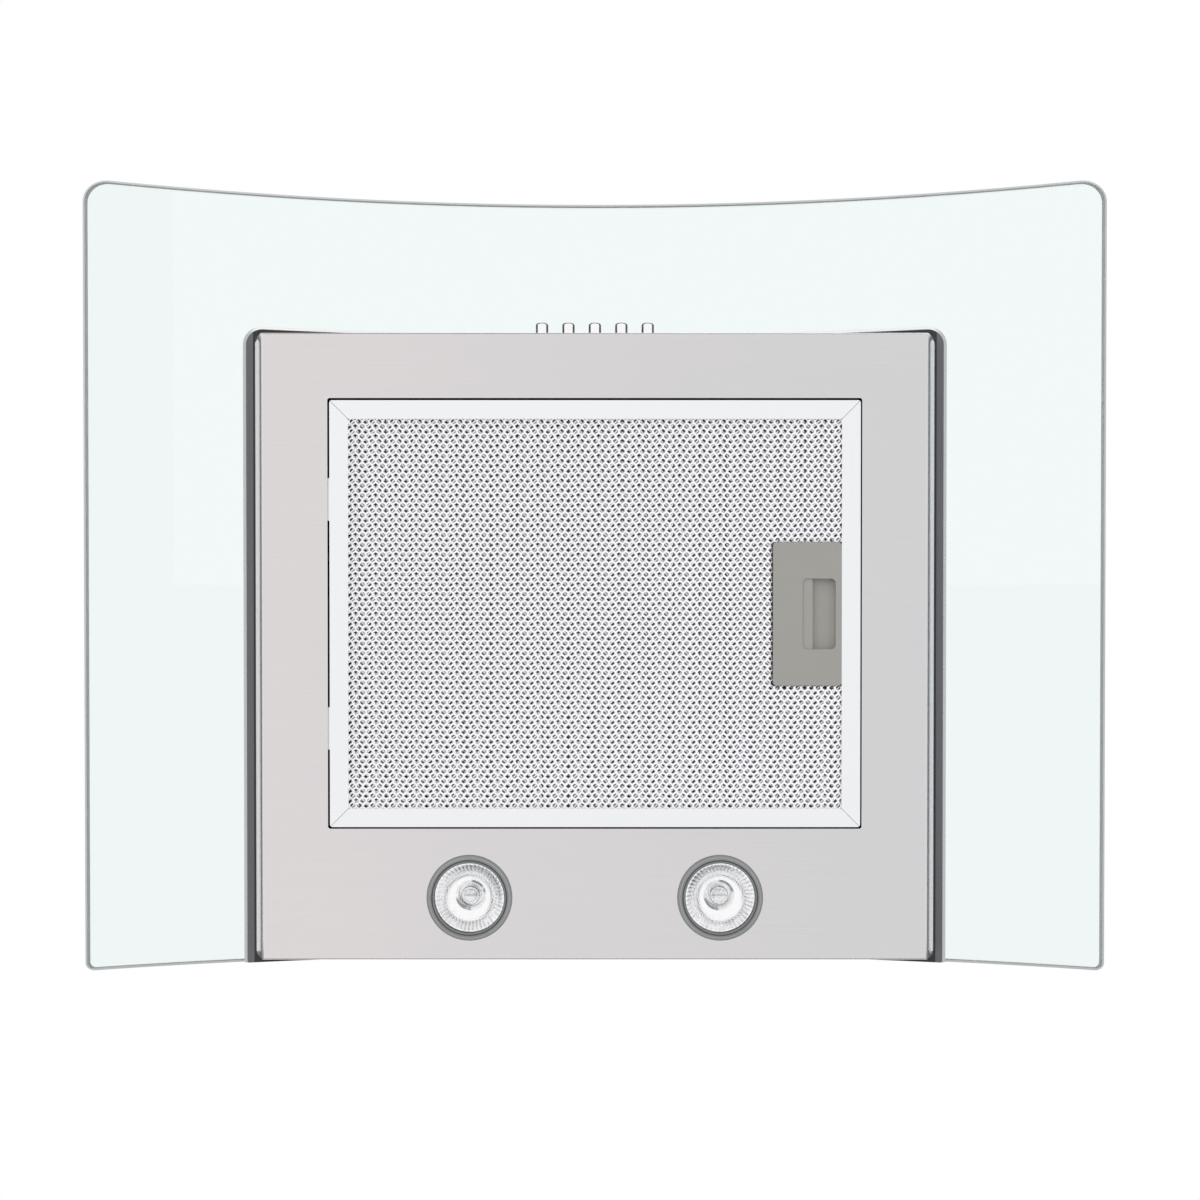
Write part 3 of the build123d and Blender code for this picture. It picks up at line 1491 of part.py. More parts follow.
with BuildPart() as latch_slider:
    add(
        block(
            slider_left,
            slider_right,
            filter_middle + slider_half,
            filter_middle - slider_half,
            slider_low,
            slider_high,
        )
    )
    with BuildSketch(Plane.XY.offset(level(slider_low - over))):
        with Locations(((window_left + tab_width + window_right) / 2, -filter_middle)):
            Rectangle(window_right - window_left - tab_width, window_length)
    extrude(amount=over + finger_depth, mode=Mode.SUBTRACT)
    add(
        block(
            slider_right - slider_head,
            opening_half - tongue_gap,
            filter_middle + tongue_width / 2,
            filter_middle - tongue_width / 2,
            tongue_low,
            tongue_high,
        )
    )
save(latch_slider, "latch_slider")

with BuildPart() as latch_spring:
    spring_left = latch_left + latch_wall + spring_strip
    spring_run = (slider_left - spring_strip - spring_left) / spring_bends
    with BuildSketch(Plane.XY.offset(level((rail_thick - spring_height) / 2))):
        with BuildLine():
            Polyline(
                *[
                    (spring_left + spring_run * n, -filter_middle + spring_width * (n % 2 * 2 - 1))
                    for n in range(spring_bends + 1)
                ]
            )
        trace(line_width=spring_strip)
    extrude(amount=spring_height)
save(latch_spring, "latch_spring")
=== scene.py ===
"""Looks of a wall-mounted range hood, seen from straight below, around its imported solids."""

import logging
import math
from dataclasses import dataclass
from enum import Enum
from typing import Any, Sequence, Union

import bpy
import numpy as np
from mathutils import Matrix, Vector


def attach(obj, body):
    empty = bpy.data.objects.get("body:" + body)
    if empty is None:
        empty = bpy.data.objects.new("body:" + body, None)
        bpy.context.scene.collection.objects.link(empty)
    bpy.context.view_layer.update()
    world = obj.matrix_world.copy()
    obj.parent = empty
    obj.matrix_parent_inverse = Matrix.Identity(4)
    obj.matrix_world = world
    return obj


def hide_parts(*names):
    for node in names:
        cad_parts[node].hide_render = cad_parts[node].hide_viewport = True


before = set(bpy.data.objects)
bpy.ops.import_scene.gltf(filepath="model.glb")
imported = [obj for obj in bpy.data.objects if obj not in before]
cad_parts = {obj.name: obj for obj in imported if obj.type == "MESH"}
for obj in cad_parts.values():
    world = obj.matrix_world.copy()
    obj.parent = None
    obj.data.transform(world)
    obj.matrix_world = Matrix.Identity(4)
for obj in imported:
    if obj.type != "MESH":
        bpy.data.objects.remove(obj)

LOG = logging.getLogger("range_hood")
MM = 0.001
UNDERSIDE = -0.215  # z of the tray's underside
LAMP_X = 0.07405  # from the middle to a lamp's axis
TINY = 1e-9  # keeps a division by a length from failing
Colour = tuple[float, float, float]
Number = Union[float, "Val"]


def level(height: float) -> float:
    """z of a height in millimetres above the tray's underside."""
    return UNDERSIDE + height * MM


def shade(colour: Colour, share: float) -> Colour:
    """Colour made lighter or darker by a share."""
    return tuple(min(1.0, part * share) for part in colour)


class Val:
    """A shader value whose arithmetic adds Math nodes."""

    def __init__(self, shader: "Shader", socket: bpy.types.NodeSocket) -> None:
        """Wrap one output socket of a shader."""
        self.shader = shader
        self.socket = socket

    def __add__(self, other: Number) -> "Val":
        """Sum."""
        return self.shader.math("ADD", self, other)

    def __radd__(self, other: Number) -> "Val":
        """Sum, with the number first."""
        return self.shader.math("ADD", other, self)

    def __sub__(self, other: Number) -> "Val":
        """Difference."""
        return self.shader.math("SUBTRACT", self, other)

    def __rsub__(self, other: Number) -> "Val":
        """Difference, with the number first."""
        return self.shader.math("SUBTRACT", other, self)

    def __mul__(self, other: Number) -> "Val":
        """Product."""
        return self.shader.math("MULTIPLY", self, other)

    def __rmul__(self, other: Number) -> "Val":
        """Product, with the number first."""
        return self.shader.math("MULTIPLY", other, self)

    def __truediv__(self, other: Number) -> "Val":
        """Quotient."""
        return self.shader.math("DIVIDE", self, other)

    def __gt__(self, other: Number) -> "Val":
        """1 where this is the greater, else 0."""
        return self.shader.math("GREATER_THAN", self, other)

    def __lt__(self, other: Number) -> "Val":
        """1 where this is the smaller, else 0."""
        return self.shader.math("LESS_THAN", self, other)

    def __abs__(self) -> "Val":
        """Absolute value."""
        return self.shader.math("ABSOLUTE", self)


class Shader:
    """One material and its nodes."""

    def __init__(self, name: str) -> None:
        """Start an empty material."""
        self.material = bpy.data.materials.new(name)
        self.material.use_nodes = True
        self.tree = self.material.node_tree
        self.tree.nodes.clear()

    @classmethod
    def of_world(cls, world: bpy.types.World) -> "Shader":
        """Start the emptied nodes of a world.

        Args:
            world: the world, which gets nodes.

        Returns:
            The shader.
        """
        shader = cls.__new__(cls)
        world.use_nodes = True
        shader.tree = world.node_tree
        shader.tree.nodes.clear()
        return shader

    def add(self, kind: str, settings: dict[str, Any] | None = None,
            sockets: dict[Any, Any] | None = None) -> bpy.types.Node:
        """Add a node.

        Args:
            kind: the node's type.
            settings: its own settings, among them a ramp's stops.
            sockets: values or links of its inputs, by name or number.

        Returns:
            The node.
        """
        node = self.tree.nodes.new(kind)
        for key, value in (settings or {}).items():
            if key == "stops":
                self.set_stops(node.color_ramp, value)
            else:
                setattr(node, key, value)
        for key, value in (sockets or {}).items():
            self.feed(node.inputs[key], value)
        return node

    @staticmethod
    def set_stops(ramp: bpy.types.ColorRamp, stops: Sequence[tuple[float, Colour]]) -> None:
        """Give a ramp its stops.

        Args:
            ramp: the ramp.
            stops: places from 0 to 1, each with its colour.
        """
        while len(ramp.elements) < len(stops):
            ramp.elements.new(1.0)
        for element, (place, colour) in zip(ramp.elements, stops):
            element.position = place
            element.color = (*colour, 1.0)

    def feed(self, socket: bpy.types.NodeSocket, value: Any) -> None:
        """Link a socket, or set its value.

        Args:
            socket: an input.
            value: a shader value, an output socket, a number, a colour or a vector.
        """
        if isinstance(value, Val):
            self.tree.links.new(value.socket, socket)
        elif isinstance(value, bpy.types.NodeSocket):
            self.tree.links.new(value, socket)
        elif socket.type == "RGBA" and len(value) == 3:
            socket.default_value = (*value, 1.0)
        else:
            socket.default_value = value

    def math(self, operation: str, first: Number, second: Number = 0.0) -> Val:
        """A Math node's result."""
        node = self.add("ShaderNodeMath", {"operation": operation}, {0: first, 1: second})
        return Val(self, node.outputs[0])

    def place(self) -> bpy.types.NodeSocket:
        """Object coordinates, in metres."""
        return self.add("ShaderNodeTexCoord").outputs["Object"]

    def parts(self, vector: bpy.types.NodeSocket) -> tuple[Val, Val, Val]:
        """The three parts of a vector."""
        node = self.add("ShaderNodeSeparateXYZ", sockets={0: vector})
        return tuple(Val(self, node.outputs[n]) for n in range(3))

    def facing(self) -> tuple[Val, Val, Val]:
        """The three parts of the surface's direction."""
        return self.parts(self.add("ShaderNodeNewGeometry").outputs["Normal"])

    def stretched(self, scale: Sequence[float]) -> bpy.types.NodeSocket:
        """Object coordinates stretched by a scale."""
        return self.add("ShaderNodeMapping", sockets={"Vector": self.place(), "Scale": scale}).outputs[0]

    def around(self, x: float, y: float) -> tuple[Val, Val]:
        """Distance from an upright axis, and angle round it.

        Args:
            x: the axis's x, in metres.
            y: its y.

        Returns:
            The distance in metres and the angle in radians.
        """
        place = self.parts(self.place())
        from_x, from_y = place[0] - x, place[1] - y
        distance = self.math("SQRT", from_x * from_x + from_y * from_y)
        return distance, self.math("ARCTAN2", from_y, from_x)

    def noise(self, vector: bpy.types.NodeSocket, scale: float, detail: float = 2.0,
              roughness: float = 0.5) -> Val:
        """Smooth noise.

        Args:
            vector: where it is read.
            scale: how fine it is, per metre.
            detail: how many finer layers it has.
            roughness: how strong those are.

        Returns:
            A value from 0 to 1.
        """
        node = self.add("ShaderNodeTexNoise", sockets={
            "Vector": vector, "Scale": scale, "Detail": detail, "Roughness": roughness})
        return Val(self, node.outputs["Fac"])

    def cells(self, vector: bpy.types.NodeSocket, scale: float) -> Val:
        """One random value per cell of a Voronoi pattern."""
        node = self.add("ShaderNodeTexVoronoi", sockets={"Vector": vector, "Scale": scale})
        return self.parts(node.outputs["Color"])[0]

    def step(self, value: Val, low: float, high: float) -> Val:
        """Smooth step.

        Args:
            value: the value that is compared.
            low: where the step starts.
            high: where it ends.

        Returns:
            0 below low, 1 above high, smooth between.
        """
        node = self.add("ShaderNodeMapRange", {"interpolation_type": "SMOOTHSTEP"}, {
            "Value": value, "From Min": low, "From Max": high})
        return Val(self, node.outputs[0])

    def mix(self, factor: Number, first: Any, second: Any) -> bpy.types.NodeSocket:
        """A colour between two colours.

        Args:
            factor: the share of the second.
            first: the colour at 0.
            second: the colour at 1.

        Returns:
            The mixed colour.
        """
        node = self.add("ShaderNodeMix", {"data_type": "RGBA"}, {0: factor, 6: first, 7: second})
        return node.outputs[2]

    def bump(self, height: Val, distance: float) -> bpy.types.NodeSocket:
        """A surface direction from a height pattern.

        Args:
            height: the pattern.
            distance: what a height of 1 is worth, in metres.

        Returns:
            The bent surface direction.
        """
        node = self.add("ShaderNodeBump", sockets={"Strength": 1.0, "Distance": distance, "Height": height})
        return node.outputs[0]

    def surface(self, **sockets: Any) -> bpy.types.NodeSocket:
        """A Principled surface.

        Args:
            **sockets: values by the sockets' names, with _ for their spaces.

        Returns:
            The surface's output.
        """
        named = {key.replace("_", " "): value for key, value in sockets.items()}
        return self.add("ShaderNodeBsdfPrincipled", sockets=named).outputs[0]

    def finish(self, surface: bpy.types.NodeSocket) -> bpy.types.Material:
        """Connect the surface and give the material."""
        self.add("ShaderNodeOutputMaterial", sockets={"Surface": surface})
        return self.material


class Grain(Enum):
    """Way in which a sheet was brushed."""

    FOLDED = "across, and followed round the folds of the tray"
    UPRIGHT = "up and down"


@dataclass(frozen=True)
class BrushedSheet:
    """Brushed metal sheet: fine parallel lines, faint cloudy reflections and a slow change of tone,
    a painted reflection that runs from the left colour to the right one.

    On the folded tray the side walls are smoother, and what lies inside the filter opening is darkened by
    painted shade.
    """

    name: str
    left: Colour
    right: Colour
    roughness: float
    grain: Grain
    contrast: float = 0.05
    tone_half: float = 0.22
    line_pitch: float = 0.0004
    line_length: float = 0.06
    line_depth: float = 0.000004
    line_tone: float = 0.7
    line_gloss: float = 0.14
    cloud_scale: float = 7.0
    cloud_tone: float = 0.6
    cloud_gloss: float = 0.06
    wall_turn: tuple[float, float] = (0.35, 0.6)
    wall_roughness: float = 0.14
    painted_shade_centre: tuple[float, float] = (0.0, -0.2103)
    painted_shade_half: tuple[float, float] = (0.166, 0.135)
    painted_shade_level: float = 0.9
    painted_shade_tone: float = 0.06

    @staticmethod
    def lines(shader: Shader, scale: Sequence[float]) -> Val:
        """Brushed lines: noise that is fine across them and long along them."""
        return shader.noise(shader.stretched(scale), 1.0, detail=3.0, roughness=0.6)

    def make(self) -> bpy.types.Material:
        """Build the material: the lines turn upright where a folded sheet faces the front or back."""
        shader = Shader(self.name)
        fine, along = 1 / self.line_pitch, 1 / self.line_length
        if self.grain is Grain.UPRIGHT:
            lines = self.lines(shader, (fine, fine, along))
        else:
            flat = self.lines(shader, (along, fine, along))
            upright = self.lines(shader, (along, along, fine))
            facing_front = abs(shader.facing()[1]) > 0.5
            lines = flat + (upright - flat) * facing_front
        clouds = shader.noise(shader.place(), self.cloud_scale)
        # Painted reflection: the tone runs from the left colour to the right one across the sheet.
        across = shader.step(shader.parts(shader.place())[0], -self.tone_half, self.tone_half)
        tone = shader.mix(across, self.left, self.right)
        worn = shader.mix((lines - 0.5) * self.line_tone + (clouds - 0.5) * self.cloud_tone + 0.5,
                          shade(self.left, 1 - self.contrast), shade(self.right, 1 + self.contrast))
        colour = shader.mix(0.5, tone, worn)
        roughness = self.roughness
        if self.grain is Grain.FOLDED:
            x, y, z = shader.parts(shader.place())
            wall = shader.step(abs(shader.facing()[0]), *self.wall_turn)
            roughness = self.roughness - wall * (self.roughness - self.wall_roughness)
            # Painted shade: faces higher than the underside within the filter opening take a near-black tone.
            beside = (abs(x - self.painted_shade_centre[0]) < self.painted_shade_half[0]) * (
                abs(y - self.painted_shade_centre[1]) < self.painted_shade_half[1])
            inside = beside * (z > level(self.painted_shade_level))
            colour = shader.mix(inside, colour, shade(self.left, self.painted_shade_tone))
        return shader.finish(shader.surface(
            Base_Color=colour, Metallic=1.0,
            Roughness=roughness + (lines - 0.5) * self.line_gloss + (clouds - 0.5) * self.cloud_gloss,
            Normal=shader.bump(lines * self.line_depth, 1.0)))


@dataclass(frozen=True)
class RailMetal:
    """Bright mill-finish aluminium with faint drawing lines, and dark hairlines at the four mitres."""

    name: str
    colour: Colour
    low: tuple[float, float]
    high: tuple[float, float]
    metallic: float = 0.85
    roughness: float = 0.36
    line_scale: float = 900.0
    line_depth: float = 0.000004
    cloud_scale: float = 25.0
    cloud_tone: float = 0.965
    cloud_gloss: float = 0.1
    hairline: float = 0.00028
    hairline_share: float = 0.75
    hairline_tone: float = 0.3

    def make(self) -> bpy.types.Material:
        """Build the material: a point on a mitre is as far from one outer edge as from the next."""
        shader = Shader(self.name)
        x, y = shader.parts(shader.place())[:2]
        from_side = shader.math("MINIMUM", x - self.low[0], self.high[0] - x)
        from_end = shader.math("MINIMUM", y - self.low[1], self.high[1] - y)
        lines = shader.noise(shader.place(), self.line_scale)
        clouds = shader.noise(shader.place(), self.cloud_scale, detail=3.0)
        mitre = abs(from_side - from_end) < self.hairline
        plain = shader.mix(clouds, shade(self.colour, self.cloud_tone), self.colour)
        colour = shader.mix(mitre * self.hairline_share, plain, shade(self.colour, self.hairline_tone))
        return shader.finish(shader.surface(
            Base_Color=colour, Metallic=self.metallic,
            Roughness=self.roughness + (clouds - 0.5) * self.cloud_gloss,
            Normal=shader.bump(lines, self.line_depth)))


@dataclass(frozen=True)
class Polished:
    """Plated or polished metal with faint smears."""

    name: str
    colour: Colour
    roughness: float
    smear: float = 0.05
    smear_scale: tuple[float, float, float] = (40.0, 160.0, 160.0)
    smear_tone: float = 0.95
    painted_dark_reflection: float = 0.0
    painted_reflection_turn: tuple[float, float] = (0.20, 0.36)
    painted_reflection_tone: float = 0.03

    def make(self) -> bpy.types.Material:
        """Build the material; where it turns away from the eye its colour darkens, by a share, into a painted
        dark reflection.
        """
        shader = Shader(self.name)
        smears = shader.noise(shader.stretched(self.smear_scale), 1.0, detail=3.0)
        plain = shader.mix(smears, shade(self.colour, self.smear_tone), self.colour)
        # Painted reflection: the colour darkens where the surface turns from the eye, standing in for dark
        # surroundings in the mirror.
        weight = shader.add("ShaderNodeLayerWeight", sockets={"Blend": 0.5})
        edge = shader.step(Val(shader, weight.outputs["Facing"]), *self.painted_reflection_turn) * self.painted_dark_reflection
        return shader.finish(shader.surface(
            Base_Color=shader.mix(edge, plain, shade(self.colour, self.painted_reflection_tone)), Metallic=1.0,
            Roughness=self.roughness + (smears - 0.5) * self.smear))


@dataclass(frozen=True)
class BezelMetal:
    """Dull nickel of a lamp's bezel: fine turning round the lamp's axis, and rings of painted highlight and
    shade, darker near the inner edge.
    """

    name: str
    x: float
    y: float
    colour: Colour = (0.24, 0.244, 0.247)
    rings: tuple[tuple[float, float], ...] = (
        (0.0, 0.9), (0.08, 0.7), (0.13, 1.2), (0.42, 1.15), (0.47, 1.3), (0.60, 1.2), (0.64, 1.8),
        (0.71, 1.8), (0.75, 1.2), (0.90, 1.35), (0.95, 0.8), (1.0, 0.7))
    inner: float = 0.0205
    outer: float = 0.0253
    metallic: float = 0.9
    roughness: float = 0.32
    turning: float = 60000.0
    turning_depth: float = 0.000003
    worn_scale: float = 180.0
    worn_share: float = 0.3
    worn_tone: float = 0.8
    worn_gloss: float = 0.1

    def make(self) -> bpy.types.Material:
        """Build the material: its painted highlight and shade follow the share of the way from the inner edge
        to the outer.
        """
        shader = Shader(self.name)
        radius = shader.around(self.x, self.y)[0]
        share = (radius - self.inner) / (self.outer - self.inner)
        # Painted highlight and shade: the rings' tones stand in for the bezel's reflections and shading.
        stops = [(place, shade(self.colour, tone)) for place, tone in self.rings]
        ramp = shader.add("ShaderNodeValToRGB", {"stops": stops}, {"Fac": share})
        turned = shader.math("SINE", radius * self.turning)
        worn = shader.noise(shader.place(), self.worn_scale, detail=3.0)
        colour = shader.mix(worn * self.worn_share, ramp.outputs["Color"], shade(self.colour, self.worn_tone))
        return shader.finish(shader.surface(
            Base_Color=colour, Metallic=self.metallic, Roughness=self.roughness + worn * self.worn_gloss,
            Normal=shader.bump(turned, self.turning_depth)))


@dataclass(frozen=True)
class SealStrip:
    """Silvered strip over the seal: grey along the sides, nearly white at the front by a painted highlight.
    """

    name: str
    side: Colour
    front: Colour
    side_x: float
    turn_width: float = 0.006
    metallic: float = 0.9
    roughness: float = 0.22
    grain_scale: float = 1400.0
    grain_depth: float = 0.000006
    grain_share: float = 0.12
    grain_tone: float = 0.8
    grain_gloss: float = 0.1

    def make(self) -> bpy.types.Material:
        """Build the material: the tone changes where the strip turns the plate's corners."""
        shader = Shader(self.name)
        across = abs(shader.parts(shader.place())[0])
        grain = shader.noise(shader.place(), self.grain_scale)
        # Painted highlight: the front is near-white, the sides grey.
        beside = shader.step(across, self.side_x - self.turn_width, self.side_x)
        tone = shader.mix(beside, self.front, self.side)
        return shader.finish(shader.surface(
            Base_Color=shader.mix(grain * self.grain_share, tone, shade(self.side, self.grain_tone)),
            Metallic=self.metallic, Roughness=self.roughness + grain * self.grain_gloss,
            Normal=shader.bump(grain, self.grain_depth)))


@dataclass(frozen=True)
class NetMetal:
    """Expanded aluminium: bright crests, with painted shade that darkens the strands' sides down to the root
    colour.
    """

    name: str
    crest: Colour
    painted_shade_root: Colour
    crest_level: float
    depth: float
    metallic: float = 0.97
    roughness: float = 0.25
    worn_scale: float = 260.0
    worn_tone: float = 0.97
    worn_gloss: float = 0.1

    def make(self) -> bpy.types.Material:
        """Build the material: the painted shade follows the height above the crest."""
        shader = Shader(self.name)
        height = (shader.parts(shader.place())[2] - level(self.crest_level)) / (self.depth * MM)
        # Painted shade: the tone runs from the crest colour to the darker root colour over the strand's
        # depth.
        down = shader.step(height, 0.0, 1.0)
        worn = shader.noise(shader.place(), self.worn_scale, detail=3.0)
        crest = shader.mix(worn, shade(self.crest, self.worn_tone), self.crest)
        return shader.finish(shader.surface(
            Base_Color=shader.mix(down, crest, self.painted_shade_root), Metallic=self.metallic,
            Roughness=self.roughness + (worn - 0.5) * self.worn_gloss))


@dataclass(frozen=True)
class ZincSheet:
    """Zinc-coated steel with large crystals, each a little lighter or darker."""

    name: str
    colour: Colour
    contrast: tuple[float, float] = (0.82, 1.12)
    crystal: float = 0.009
    crystal_share: float = 0.55
    crystal_gloss: float = 0.16
    wobble_scale: float = 180.0
    wobble_share: float = 0.35
    fine_scale: float = 900.0
    fine_share: float = 0.1
    fine_depth: float = 0.00001
    metallic: float = 0.9
    roughness: float = 0.30

    def make(self) -> bpy.types.Material:
        """Build the material: the tone is a sum of one value per crystal and two noises."""
        shader = Shader(self.name)
        wobble = shader.noise(shader.place(), self.wobble_scale, detail=3.0)
        crystals = shader.cells(shader.place(), 1 / self.crystal)
        fine = shader.noise(shader.place(), self.fine_scale)
        tone = crystals * self.crystal_share + wobble * self.wobble_share + fine * self.fine_share
        dark, light = (shade(self.colour, share) for share in self.contrast)
        return shader.finish(shader.surface(
            Base_Color=shader.mix(tone, dark, light), Metallic=self.metallic,
            Roughness=self.roughness + crystals * self.crystal_gloss,
            Normal=shader.bump(fine, self.fine_depth)))


@dataclass(frozen=True)
class Moulded:
    """Moulded plastic, rubber or paint: a fine grain and slightly uneven tone. Near-black, it also serves as
    painted shade.
    """

    name: str
    colour: Colour
    roughness: float
    contrast: float = 0.05
    grain: float = 0.0007
    depth: float = 0.000012
    grain_share: float = 0.3
    grain_gloss: float = 0.12
    cloud_scale: float = 30.0
    cloud_share: float = 0.7
    cloud_gloss: float = 0.08

    def make(self) -> bpy.types.Material:
        """Build the material."""
        shader = Shader(self.name)
        grain = shader.noise(shader.place(), 1 / self.grain)
        clouds = shader.noise(shader.place(), self.cloud_scale, detail=3.0)
        dark, light = shade(self.colour, 1 - self.contrast), shade(self.colour, 1 + self.contrast)
        return shader.finish(shader.surface(
            Base_Color=shader.mix(clouds * self.cloud_share + grain * self.grain_share, dark, light),
            Roughness=self.roughness + (grain - 0.5) * self.grain_gloss + (clouds - 0.5) * self.cloud_gloss,
            Normal=shader.bump(grain, self.depth)))


@dataclass(frozen=True)
class DarkBorder:
    """Satin grey of the top plate, dark as a painted reflection, with a strip of painted shade where the
    tray's side walls meet it.
    """

    name: str
    colour: Colour
    painted_shade_x: float
    painted_shade_width: float = 0.0010
    seam_share: float = 0.85
    painted_shade_gloss: float = 0.3
    painted_shade_colour: Colour = (0.012, 0.012, 0.012)
    contrast: float = 0.05
    roughness: float = 0.35
    grain_scale: float = 1400.0
    grain_depth: float = 0.00001
    grain_gloss: float = 0.1
    cloud_scale: float = 30.0

    def make(self) -> bpy.types.Material:
        """Build the material: the painted shade lies within a width outside the walls."""
        shader = Shader(self.name)
        # Painted shade: a near-black strip just outside the tray's side walls.
        beyond = abs(shader.parts(shader.place())[0]) - self.painted_shade_x
        seam = 1 - shader.step(beyond, self.painted_shade_width * 0.5, self.painted_shade_width)
        grain = shader.noise(shader.place(), self.grain_scale)
        clouds = shader.noise(shader.place(), self.cloud_scale, detail=3.0)
        dark, light = shade(self.colour, 1 - self.contrast), shade(self.colour, 1 + self.contrast)
        plain = shader.mix(clouds, dark, light)
        return shader.finish(shader.surface(
            Base_Color=shader.mix(seam * self.seam_share, plain, self.painted_shade_colour),
            Roughness=self.roughness + seam * self.painted_shade_gloss + (grain - 0.5) * self.grain_gloss,
            Normal=shader.bump(grain, self.grain_depth)))


@dataclass(frozen=True)
class CanopyGlass:
    """Float glass, clear with a faint green tone, and a ground grey rim."""

    name: str
    colour: Colour
    rim: Colour
    arch_radius: float = 0.85
    refraction: float = 1.5
    rim_turn: tuple[float, float] = (0.9, 0.96)
    rim_contrast: tuple[float, float] = (0.85, 1.1)
    rim_roughness: float = 0.55
    grind_scale: float = 2500.0
    grind_depth: float = 0.00001

    def make(self) -> bpy.types.Material:
        """Build the material: the rim is where the surface isn't square to the arch."""
        shader = Shader(self.name)
        way = shader.facing()
        arch_x = shader.parts(shader.place())[0] / self.arch_radius
        arch_z = shader.math("SQRT", 1 - arch_x * arch_x)
        square = abs(way[0] * arch_x + way[2] * arch_z)
        rim = 1 - shader.step(square, *self.rim_turn)
        grind = shader.noise(shader.place(), self.grind_scale)
        dark, light = (shade(self.rim, share) for share in self.rim_contrast)
        clear = shader.surface(
            Base_Color=self.colour, Roughness=0.0, IOR=self.refraction, Transmission_Weight=1.0)
        ground = shader.surface(
            Base_Color=shader.mix(grind, dark, light), Roughness=self.rim_roughness,
            Normal=shader.bump(grind, self.grind_depth))
        mixed = shader.add("ShaderNodeMixShader", sockets={0: rim, 1: clear, 2: ground})
        return shader.finish(mixed.outputs[0])


@dataclass(frozen=True)
class ClearGlass:
    """Thin glass of the lamps, seen by its gloss and a haze, which mirrors where it is metallic."""

    name: str
    colour: Colour
    haze: float
    spread: float
    metallic: float = 0.0
    roughness: float = 0.02
    refraction: float = 1.5
    mist_scale: float = 420.0
    mist_gloss: float = 0.06

    def make(self) -> bpy.types.Material:
        """Build the material, with a haze that varies over it."""
        shader = Shader(self.name)
        mist = shader.noise(shader.place(), self.mist_scale, detail=3.0)
        return shader.finish(shader.surface(
            Base_Color=self.colour, Metallic=self.metallic, IOR=self.refraction,
            Roughness=self.roughness + mist * self.mist_gloss,
            Alpha=self.haze + (mist - 0.5) * self.spread))


@dataclass(frozen=True)
class FacetedMetal:
    """Bright vapour-plated reflector, whose pressed flutes show as fine lines of painted shade.

    Outside the seam the flutes are broad, inside it they are fine ticks, and two arcs of painted shadow lie
    round the neck. Each is broken up where the noise is low.
    """

    name: str
    x: float
    y: float
    flutes: int
    neck: float
    seam: float
    colour: Colour = (0.99, 0.99, 1.0)
    line_tone: float = 0.62
    roughness: float = 0.12
    wear_scale: float = 260.0
    wear_gloss: float = 0.08
    flute_share: float = 0.8
    flute_breakup: tuple[float, float] = (0.30, 0.62)
    tick_peak: float = 0.93
    tick_share: float = 0.35
    tick_breakup: tuple[float, float] = (0.46, 0.60)
    seam_blur: float = 0.0003
    seam_half: float = 0.00016
    seam_share: float = 0.5
    painted_shadow_colour: Colour = (0.26, 0.265, 0.27)
    arc_turn: float = 0.2
    arc_edge: tuple[float, float] = (0.0008, 0.0013)
    arc_share: float = 0.75
    arc_least: float = 0.2
    painted_shadow_breakup: tuple[float, float] = (0.25, 0.5)

    def make(self) -> bpy.types.Material:
        """Build the material: a flute's line lies where the angle round the lamp's axis comes round."""
        shader = Shader(self.name)
        radius, angle = shader.around(self.x, self.y)
        noise = shader.noise(shader.place(), self.wear_scale, detail=3.0)
        outer = shader.step(radius, self.seam - self.seam_blur, self.seam + self.seam_blur)
        # Painted shade: dark lines along the flutes, and fine ticks inside the seam.
        waves = shader.math("SINE", angle * self.flutes) * 0.5 + 0.5
        flutes = outer * waves * shader.step(noise, *self.flute_breakup)
        peaks = shader.math("SINE", angle * (self.flutes * 2)) > self.tick_peak
        ticks = (1 - outer) * peaks * shader.step(noise, *self.tick_breakup) * self.tick_share
        seam = (abs(radius - self.seam) < self.seam_half) * self.seam_share
        tone = shader.mix(flutes * self.flute_share + ticks + seam, self.colour,
                          shade(self.colour, self.line_tone))
        # Painted shadow: two dark arcs round the neck.
        near = 1 - shader.step(radius, self.neck + self.arc_edge[0], self.neck + self.arc_edge[1])
        twice_round = shader.step(shader.math("SINE", angle * -2.0 - self.arc_turn), 0.0, 0.5)
        painted_shadows = near * (twice_round * self.arc_share + self.arc_least) * shader.step(noise, *self.painted_shadow_breakup)
        return shader.finish(shader.surface(
            Base_Color=shader.mix(painted_shadows, tone, self.painted_shadow_colour), Metallic=1.0,
            Roughness=self.roughness + noise * self.wear_gloss))


